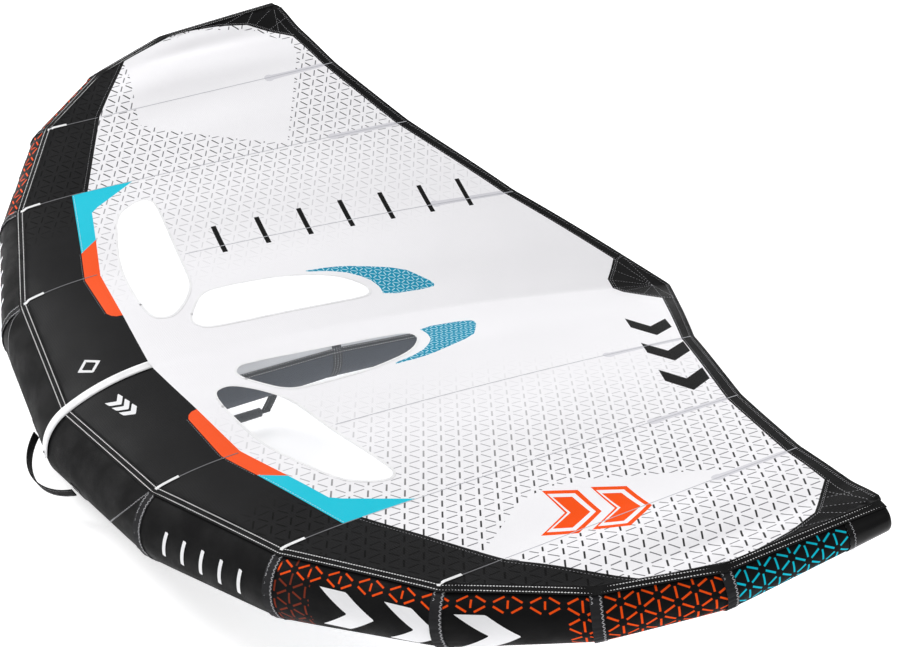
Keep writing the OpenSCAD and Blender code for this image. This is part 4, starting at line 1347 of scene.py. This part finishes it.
def strut_surface(y, angle, off=0.0):
    """Points on the strut: angle is from +X towards the top."""
    y, angle = np.broadcast_arrays(np.asarray(y, float), np.asarray(angle, float))
    r = np.interp(y, STRUT_Y, STRUT_R)
    z = np.interp(y, STRUT_Y, STRUT_C)
    room = np.min(np.abs(y[..., None] - STRUT_Y), axis=-1)
    bulge = 1.2 * (1 - np.exp(-room / 20)) - 1.0
    a = np.radians(angle)
    r = r + off + bulge
    return np.stack([r * np.cos(a), y, z + r * np.sin(a)], axis=-1)


def strut_start(angle, off=1.5):
    """Where a line along the strut leaves the leading edge tube."""
    a = np.radians(np.asarray(angle, float))
    r = STRUT_R[0] - 2
    x, z = r * np.cos(a), STRUT_C[0] + r * np.sin(a)
    t = np.clip(np.abs(x) / TUBE_C[1][0], 0, 1)
    radius = RADIUS[0] + (RADIUS[1] - RADIUS[0]) * t + off
    cy = TUBE_C[0][1] + (TUBE_C[1][1] - TUBE_C[0][1]) * t
    cz = TUBE_C[0][2] + (TUBE_C[1][2] - TUBE_C[0][2]) * t
    return np.maximum(cy + np.sqrt(np.maximum(radius**2 - (z - cz) ** 2, 0)), STRUT_Y[0])


def strut_sheet(name, first, last, material, nodes):
    count = max(12, int((last - first) / 4))
    angles = np.linspace(first, last, count)
    start = strut_start(angles)
    steps = np.linspace(0, 1, 120)
    yy = start[None] + steps[:, None] * (STRUT_Y[3] - 0.5 - start[None])
    aa = np.broadcast_to(angles, yy.shape)
    p = strut_surface(yy, aa)
    uv = np.stack([yy.ravel(), (np.radians(aa) * 70).ravel()], axis=1) / 1000
    faces = [f[::-1] for f in grid_faces(len(steps), count)]
    ob = mesh_object(name, p.reshape(-1, 3), faces, [material], uvs=uv)
    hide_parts(*nodes)
    return ob


def build_strut(white, grey):
    top = strut_sheet("strut_top", SPLIT, 180 - SPLIT, M["light_casing"], ["strut_top_panel"])
    low = strut_sheet("strut_casing", 180 - SPLIT, 360 + SPLIT, M["dark_casing"],
                      ["strut_lower_casing"])
    tapes = Strips()
    for angle in (SPLIT, 180 - SPLIT):
        ys = np.linspace(float(strut_start(angle)) + 4, 1812, 160)
        p = strut_surface(ys, angle, 0.4)
        n = unit(strut_surface(ys, angle, 6) - p)
        tapes.add(p, n, 14, 0.8)
        for turn in (-3.6, 3.6):
            p = strut_surface(ys, angle + turn, 1.4)
            white.row(p, n, length=5, pitch=7, width=1.5)
    for y in (STRUT_Y[1], STRUT_Y[2]):
        angles = np.linspace(0, 360, 120)
        p = strut_surface(np.full(120, y), angles, 0.9)
        n = unit(strut_surface(np.full(120, y), angles, 8) - p)
        tapes.add(p, n, 26, 0.8)
        for shift in (-8, 0, 8):
            grey.row(p + [0, shift, 0] + n * 0.9, n, length=5, pitch=7, width=1.5)
    ob = tapes.build("strut_tapes", M["grey_tape"])
    # piping where the strut is sewn to the tube
    angles = np.linspace(0, 360, 140)
    ys = strut_start(angles, 2.0)
    p = strut_surface(ys, angles, 1.0)
    pipe(p, 4.2, "strut_root_piping", M["seam_tape"], closed=True)
    # end disc
    angles = np.linspace(0, 360, CAP_SIDES, endpoint=False)
    ring = strut_surface(np.full(CAP_SIDES, STRUT_Y[3] + 0.4), angles)
    centre = ring.mean(axis=0)
    rows = [ring]
    for shrink, out in ((0.995, 6), (0.97, 10), (0.9, 12.6), (0.6, 13.6), (0.3, 13.8)):
        rows.append(centre + (ring - centre) * shrink + np.array([0, out, 0]))
    p = np.vstack(rows + [centre[None] + [0, 13.9, 0]])
    count = len(rows)
    faces = grid_faces(count, CAP_SIDES, closed=True)
    faces += fan((count - 1) * CAP_SIDES, CAP_SIDES, count * CAP_SIDES)
    ob = mesh_object("strut_end_cap", p, faces, [M["cap"]])
    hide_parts("strut_tail_cap")
    angles = np.linspace(0, 360, 40, endpoint=False)
    rings = [strut_surface(np.full(40, y), angles, -5) for y in np.linspace(190, 1808, 60)]
    bladder("strut_bladder_film", rings, "strut_bladder")


def pipe(path, radius, name, material, closed=False, sides=10):
    """A round cord of thread or tape along a path."""
    p = np.asarray(path, float)
    t = unit(np.roll(p, -1, axis=0) - np.roll(p, 1, axis=0)) if closed else unit(np.gradient(p, axis=0))
    a = unit(np.cross(t, UP + np.array([0.01, 0.02, 0])))
    b = np.cross(t, a)
    rows = [p + radius * (math.cos(k) * a + math.sin(k) * b)
            for k in np.linspace(0, 2 * math.pi, sides, endpoint=False)]
    co = np.stack(rows, axis=1)
    n = len(p)
    faces = grid_faces(n, sides, closed=True)
    if closed:
        last = (n - 1) * sides
        faces += [(last + j, last + (j + 1) % sides, (j + 1) % sides, j) for j in range(sides)]
    ob = mesh_object(name, co.reshape(-1, 3), faces, [material])
    return ob


# ================= handles =================

FRONT_ANCHORS, REAR_ANCHORS = (300, 560), (880, 1180)
FRONT_DROP, REAR_DROP = 62, 54
HINGE_OFF = 5.3
LEG_LEAN = 30
WEB_W, WEB_T = 24, 3
GRIP_R = 12.5
CORE_R = 6
ROLLED_END = ((0, CORE_R + 0.4), (0.3, GRIP_R - 3.2), (1.4, GRIP_R - 1.2), (3.5, GRIP_R - 0.2))


def strut_low(y):
    return np.array([0, y, float(np.interp(y, STRUT_Y, STRUT_C - STRUT_R))])


def handle_axes(anchors):
    """Start, direction, up and length of the line between two anchors."""
    first, second = strut_low(anchors[0]), strut_low(anchors[1])
    along = unit(second - first)
    return first, along, np.cross([1.0, 0, 0], along), float(np.linalg.norm(second - first))


def in_handle(frame_of, points):
    """Points given as (x, along, up) in the handle's own frame."""
    first, along, up, _ = frame_of
    p = np.asarray(points, float).reshape(-1, 3)
    return first + p[:, :1] * [1.0, 0, 0] + p[:, 1:2] * along + p[:, 2:] * up


def build_handle(word, anchors, drop):
    body = f"{word}_handle"
    f = handle_axes(anchors)
    span = f[3]
    straps = Strips()
    stitches = Beads()
    for end in (0, 1):
        top_y, low_y = end * span, LEG_LEAN if end == 0 else span - LEG_LEAN
        centre = []
        for t in np.linspace(0, 1, 16):
            sag = 1.5 * math.sin(math.pi * t) * (1 if end == 0 else -1)
            centre.append((0, top_y + (low_y - top_y) * t - sag, -HINGE_OFF + (HINGE_OFF - drop) * t))
        p = in_handle(f, centre)
        side = np.tile([-1.0, 0, 0], (16, 1))
        straps.add(p - side * WEB_T / 2, side, WEB_W, WEB_T)
        for shift in (-8, 8):
            for face in (-1, 1):
                row = in_handle(f, np.array(centre) + [0, shift, 0]) + [face * (WEB_T / 2 + 0.1), 0, 0]
                facing = np.tile([face, 0.0, 0], (16, 1))
                stitches.row(row, facing, length=3.2, pitch=4.6, width=1.1, height=0.4)
    ob = straps.build(f"{word}_handle_webbing", M["webbing"], body)
    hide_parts(f"{word}_handle_strap")
    stitches.build(f"{word}_handle_stitching", M["grey_thread"], body)
    # grip: a padded sleeve with rolled ends round the webbing's core
    start, stop = LEG_LEAN + WEB_W / 2 + 1, span - LEG_LEAN - WEB_W / 2 - 1
    profile = [(start + inset, r) for inset, r in ROLLED_END]
    steps = 60
    for k in range(1, steps):
        y = start + 3.5 + (stop - start - 7) * k / steps
        swell = 0.4 * math.sin(math.pi * k / steps)
        rib = -0.35 * (0.5 + 0.5 * math.cos(2 * math.pi * y / 16)) ** 6
        profile.append((y, GRIP_R - 0.4 + swell + rib))
    profile += [(stop - inset, r) for inset, r in reversed(ROLLED_END)]
    ob = lathe(f"{word}_grip_foam", f, profile, -drop, M["foam"], body)
    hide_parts(f"{word}_handle_grip")
    core = [(LEG_LEAN - WEB_W / 2, 0.5), (LEG_LEAN - WEB_W / 2 + 0.4, CORE_R - 1.2),
            (LEG_LEAN - WEB_W / 2 + 2, CORE_R), (span - LEG_LEAN + WEB_W / 2 - 2, CORE_R),
            (span - LEG_LEAN + WEB_W / 2 - 0.4, CORE_R - 1.2), (span - LEG_LEAN + WEB_W / 2, 0.5)]
    ob = lathe(f"{word}_handle_core", f, core, -drop, M["webbing"], body)


def lathe(name, frame_of, profile, up, material, body, sides=40):
    rows = []
    for y, r in profile:
        for k in range(sides):
            a = 2 * math.pi * k / sides
            rows.append((r * math.cos(a), y, up + r * math.sin(a)))
    p = in_handle(frame_of, rows)
    n = len(profile)
    faces = [f[::-1] for f in grid_faces(n, sides, closed=True)]
    faces += [tuple(range(sides)), tuple((n - 1) * sides + j for j in range(sides - 1, -1, -1))]
    uv = [(y / 1000, r * k / sides * 6.28 / 1000) for y, r in profile for k in range(sides)]
    return mesh_object(name, p, faces, [material], uvs=uv, body=body)


def build_anchor_patches(white):
    """Reinforcement under each webbing end: a rounded patch sewn to the strut."""
    points, faces, uvs = [], [], []
    length, width, thick = 60, 34, 2.3
    for anchors in (FRONT_ANCHORS, REAR_ANCHORS):
        f = handle_axes(anchors)
        for end in (0, f[3]):
            outline = rounded([(-width / 2, -length / 2), (width / 2, -length / 2), (width / 2, length / 2),
                               (-width / 2, length / 2)], 1)
            outline = resampled(outline, 4.0, closed=True)
            n = len(outline)
            base = len(points)
            levels = ((1.0, -0.5), (1.0, -0.5 - thick * 0.7), (0.95, -0.5 - thick), (0.6, -0.5 - thick))
            for shrink, z in levels:
                points += list(in_handle(f, [(x * shrink, end + y * shrink, z) for x, y in outline]))
                uvs += [(x / 1000, y / 1000) for x, y in outline * shrink]
            points += list(in_handle(f, [(0, end, -0.5 - thick), (0, end, -0.5)]))
            uvs += [(0, 0), (0, 0)]
            for r in range(3):
                faces += [(base + r * n + j, base + r * n + (j + 1) % n, base + (r + 1) * n + (j + 1) % n,
                           base + (r + 1) * n + j) for j in range(n)]
            faces += fan(base + 3 * n, n, base + 4 * n)
            faces += fan(base, n, base + 4 * n + 1, flip=True)
            loop = np.vstack([outline, outline[:1]]) * 0.84
            path = in_handle(f, [(x, end + y, -0.5 - thick - 0.05) for x, y in loop])
            white.row(path, np.tile(-f[2], (len(path), 1)), length=3.4, pitch=4.8, width=1.2, height=0.5)
    ob = mesh_object("strut_anchor_patches", points, faces, [M["seam_tape"]], uvs=uvs)
    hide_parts("handle_anchor_patches")


NOSE_ANGLE = math.radians(-32)
NOSE_BULGE, NOSE_HALF, NOSE_OFF = 64, 135, 11
NOSE_R = (NOSE_HALF**2 + NOSE_BULGE**2) / (2 * NOSE_BULGE)


def build_nose_handle(white):
    mix = NOSE_HALF / TUBE_C[1][0]
    axis = TUBE_C[0] + mix * (TUBE_C[1] - TUBE_C[0])
    end_r = RADIUS[0] + mix * (RADIUS[1] - RADIUS[0])
    out = np.array([0, -math.cos(NOSE_ANGLE), math.sin(NOSE_ANGLE)])
    line = np.array([0, axis[1], axis[2]]) + (end_r + NOSE_OFF) * out
    sweep = math.asin(NOSE_HALF / NOSE_R)
    normal = np.cross([1.0, 0, 0], out)
    path, normals = [], []
    for a in np.linspace(-sweep, sweep, 60):
        radial = math.sin(a) * np.array([1.0, 0, 0]) + math.cos(a) * out
        path.append(line + out * (NOSE_BULGE - NOSE_R) + radial * (NOSE_R - WEB_T))
        normals.append(radial)
    path, normals = np.array(path), np.array(normals)
    straps = Strips()
    straps.add(path, normals, WEB_W, WEB_T)
    ob = straps.build("nose_handle_webbing", M["webbing"], "nose_handle")
    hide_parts("nose_handle_strap")
    rows = Beads()
    for shift in (-8.5, 8.5):
        rows.row(path + normals * (WEB_T + 0.05) + normal * shift, normals, length=3.2, pitch=4.8, width=1.2,
                 height=0.4)
    rows.build("nose_handle_stitching", M["grey_thread"], "nose_handle")
    # sewn patches on the tube
    points, faces, uvs = [], [], []
    for _, side in SIDES:
        base = len(points)
        steps = np.linspace(-1, 1, 13)
        for top in (True, False):
            for u in steps:
                for v in steps:
                    lift = (1.5 if max(abs(u), abs(v)) > 0.95 else 2.4) if top else 0.6
                    x = NOSE_HALF + u * 22
                    angle = math.degrees(NOSE_ANGLE) + v * 12
                    p = edge_surface(x / TUBE_C[1][0], angle, lift, inflated=False)
                    points.append(flipped(p, side))
                    uvs.append((u * 0.022, v * 0.024))
        cells = grid_faces(13, 13)
        rim = [k * 13 for k in range(13)] + [156 + k for k in range(1, 13)]
        rim += [168 - 13 * k for k in range(1, 13)] + [12 - k for k in range(1, 12)]
        made = cells + [tuple(i + 169 for i in f[::-1]) for f in cells]
        made += [(rim[k], rim[(k + 1) % len(rim)], rim[(k + 1) % len(rim)] + 169, rim[k] + 169)
                 for k in range(len(rim))]
        faces += [tuple(base + i for i in (f if side > 0 else f[::-1])) for f in made]
        for a, b in (((-18, -9), (18, -9)), ((18, -9), (18, 9)), ((18, 9), (-18, 9)), ((-18, 9), (-18, -9)),
                     ((-18, -9), (18, 9)), ((-18, 9), (18, -9))):
            t = np.linspace(0, 1, 12)
            x = NOSE_HALF + a[0] + (b[0] - a[0]) * t
            angle = math.degrees(NOSE_ANGLE) + a[1] + (b[1] - a[1]) * t
            p = edge_surface(x / TUBE_C[1][0], angle, 2.5, inflated=False)
            n = unit(edge_surface(x / TUBE_C[1][0], angle, 8, inflated=False) - p)
            white.row(flipped(p, side), flipped(n, side), length=3.2, pitch=4.6, width=1.2, height=0.5)
    ob = mesh_object("nose_patches", points, faces, [M["seam_tape"]], uvs=uvs)
    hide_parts("nose_handle_patches")


# ================= generic prints on the tube =================


def diamond_ring(x, y, outer, inner):
    """Two halves of a flat diamond ring, so that each is a simple outline."""
    halves = []
    for sign in (1, -1):
        halves.append([(x - outer, y), (x, y + sign * outer), (x + outer, y), (x + inner, y),
                       (x, y + sign * inner), (x - inner, y)])
    return halves


def build_tube_prints():
    """An even row of bars on the second panel and an even row of chevrons on the fourth."""
    bars = [slanted(540 + 58 * k, 84, 10, 62, -9) for k in range(5)]
    chevrons = [arrow(978 + 150 * k, 66, 128, 92, 62) for k in range(3)]
    for word, side in SIDES:
        for name, shapes in (("tube_bars", bars), ("tube_chevrons", chevrons)):
            ob = edge_print(f"{name}_{word}", shapes, side, M["white_print"])


# ================= stage, light and camera =================


FLOOR_HALF = 30
WORLD_LIGHT = 0.56
FLOOR_GLOW = 0.6
LIGHTS = (("key", (-8.0, -3.5, 6.0), 5.0, 780), ("fill", (4.5, 1.0, 3.5), 3.0, 10),
          ("back", (-2.0, 4.0, 3.0), 3.5, 18))
LENS = 73.7
CAMERA_PLACE, CAMERA_TARGET, CAMERA_ROLL = (3.599, -1.983, 2.844), (0.0718, 0.178, 0.2), 2.35


def build_stage():
    f = Finish("floor_paint", colour(244, 244, 245), 0.7, Emission_Color=(1, 1, 1, 1),
               Emission_Strength=FLOOR_GLOW)
    f.mottle(0.03, 0.4)
    me = bpy.data.meshes.new("floor")
    corners = ((-1, -1), (1, -1), (1, 1), (-1, 1))
    me.from_pydata([(x * FLOOR_HALF, y * FLOOR_HALF, -0.001) for x, y in corners], [], [(0, 1, 2, 3)])
    me.materials.append(f.done())
    floor = bpy.data.objects.new("floor", me)
    bpy.context.scene.collection.objects.link(floor)
    world = bpy.data.worlds.new("studio")
    world.use_nodes = True
    background = world.node_tree.nodes["Background"]
    background.inputs["Color"].default_value = (1, 1, 1, 1)
    background.inputs["Strength"].default_value = WORLD_LIGHT
    bpy.context.scene.world = world
    for name, place, size, power in LIGHTS:
        data = bpy.data.lights.new(name, "AREA")
        data.shape = "DISK"
        data.size = size
        data.energy = power
        light = bpy.data.objects.new(name, data)
        bpy.context.scene.collection.objects.link(light)
        light.location = place
        light.rotation_mode = "QUATERNION"
        light.rotation_quaternion = (Vector((0, 0, 0.2)) - Vector(place)).to_track_quat("-Z", "Y")
    bpy.context.scene.view_settings.view_transform = "Standard"


def build_camera():
    """The photograph's own view."""
    data = bpy.data.cameras.new("camera")
    data.lens = LENS
    data.sensor_width = 36
    data.clip_start = 0.05
    data.clip_end = 100
    camera = bpy.data.objects.new("camera", data)
    bpy.context.scene.collection.objects.link(camera)
    place, target, roll = Vector(CAMERA_PLACE), Vector(CAMERA_TARGET), math.radians(CAMERA_ROLL)
    look = (target - place).to_track_quat("-Z", "Y").to_matrix().to_4x4()
    camera.matrix_world = Matrix.Translation(place) @ look @ Matrix.Rotation(roll, 4, "Z")
    bpy.context.scene.camera = camera


# ================= CAD nodes that stay =================


def dress_nodes():
    """Materials of the CAD nodes that stay visible as they are."""
    looks = {"valve_body": "plastic", "valve_cap": "plastic", "valve_check_disc": "rubber",
             "hose_fittings": "plastic", "air_hose": "hose"}
    for node, look in looks.items():
        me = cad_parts[node].data
        me.materials.clear()
        me.materials.append(M[look])


white_stitches, grey_stitches = Beads(), Beads()
build_camera()
build_stage()
build_tube()
build_tip_caps()
build_edge_bladder()
build_edge_trim(white_stitches, grey_stitches)
build_canopy()
build_canopy_trim(white_stitches, grey_stitches)
build_battens()
build_centre_strip()
build_strut(white_stitches, grey_stitches)
build_handle("front", FRONT_ANCHORS, FRONT_DROP)
build_handle("rear", REAR_ANCHORS, REAR_DROP)
build_anchor_patches(white_stitches)
build_nose_handle(white_stitches)
build_tube_prints()
build_band_prints()
white_stitches.build("white_stitching", M["white_thread"])
grey_stitches.build("grey_stitching", M["grey_thread"])
dress_nodes()
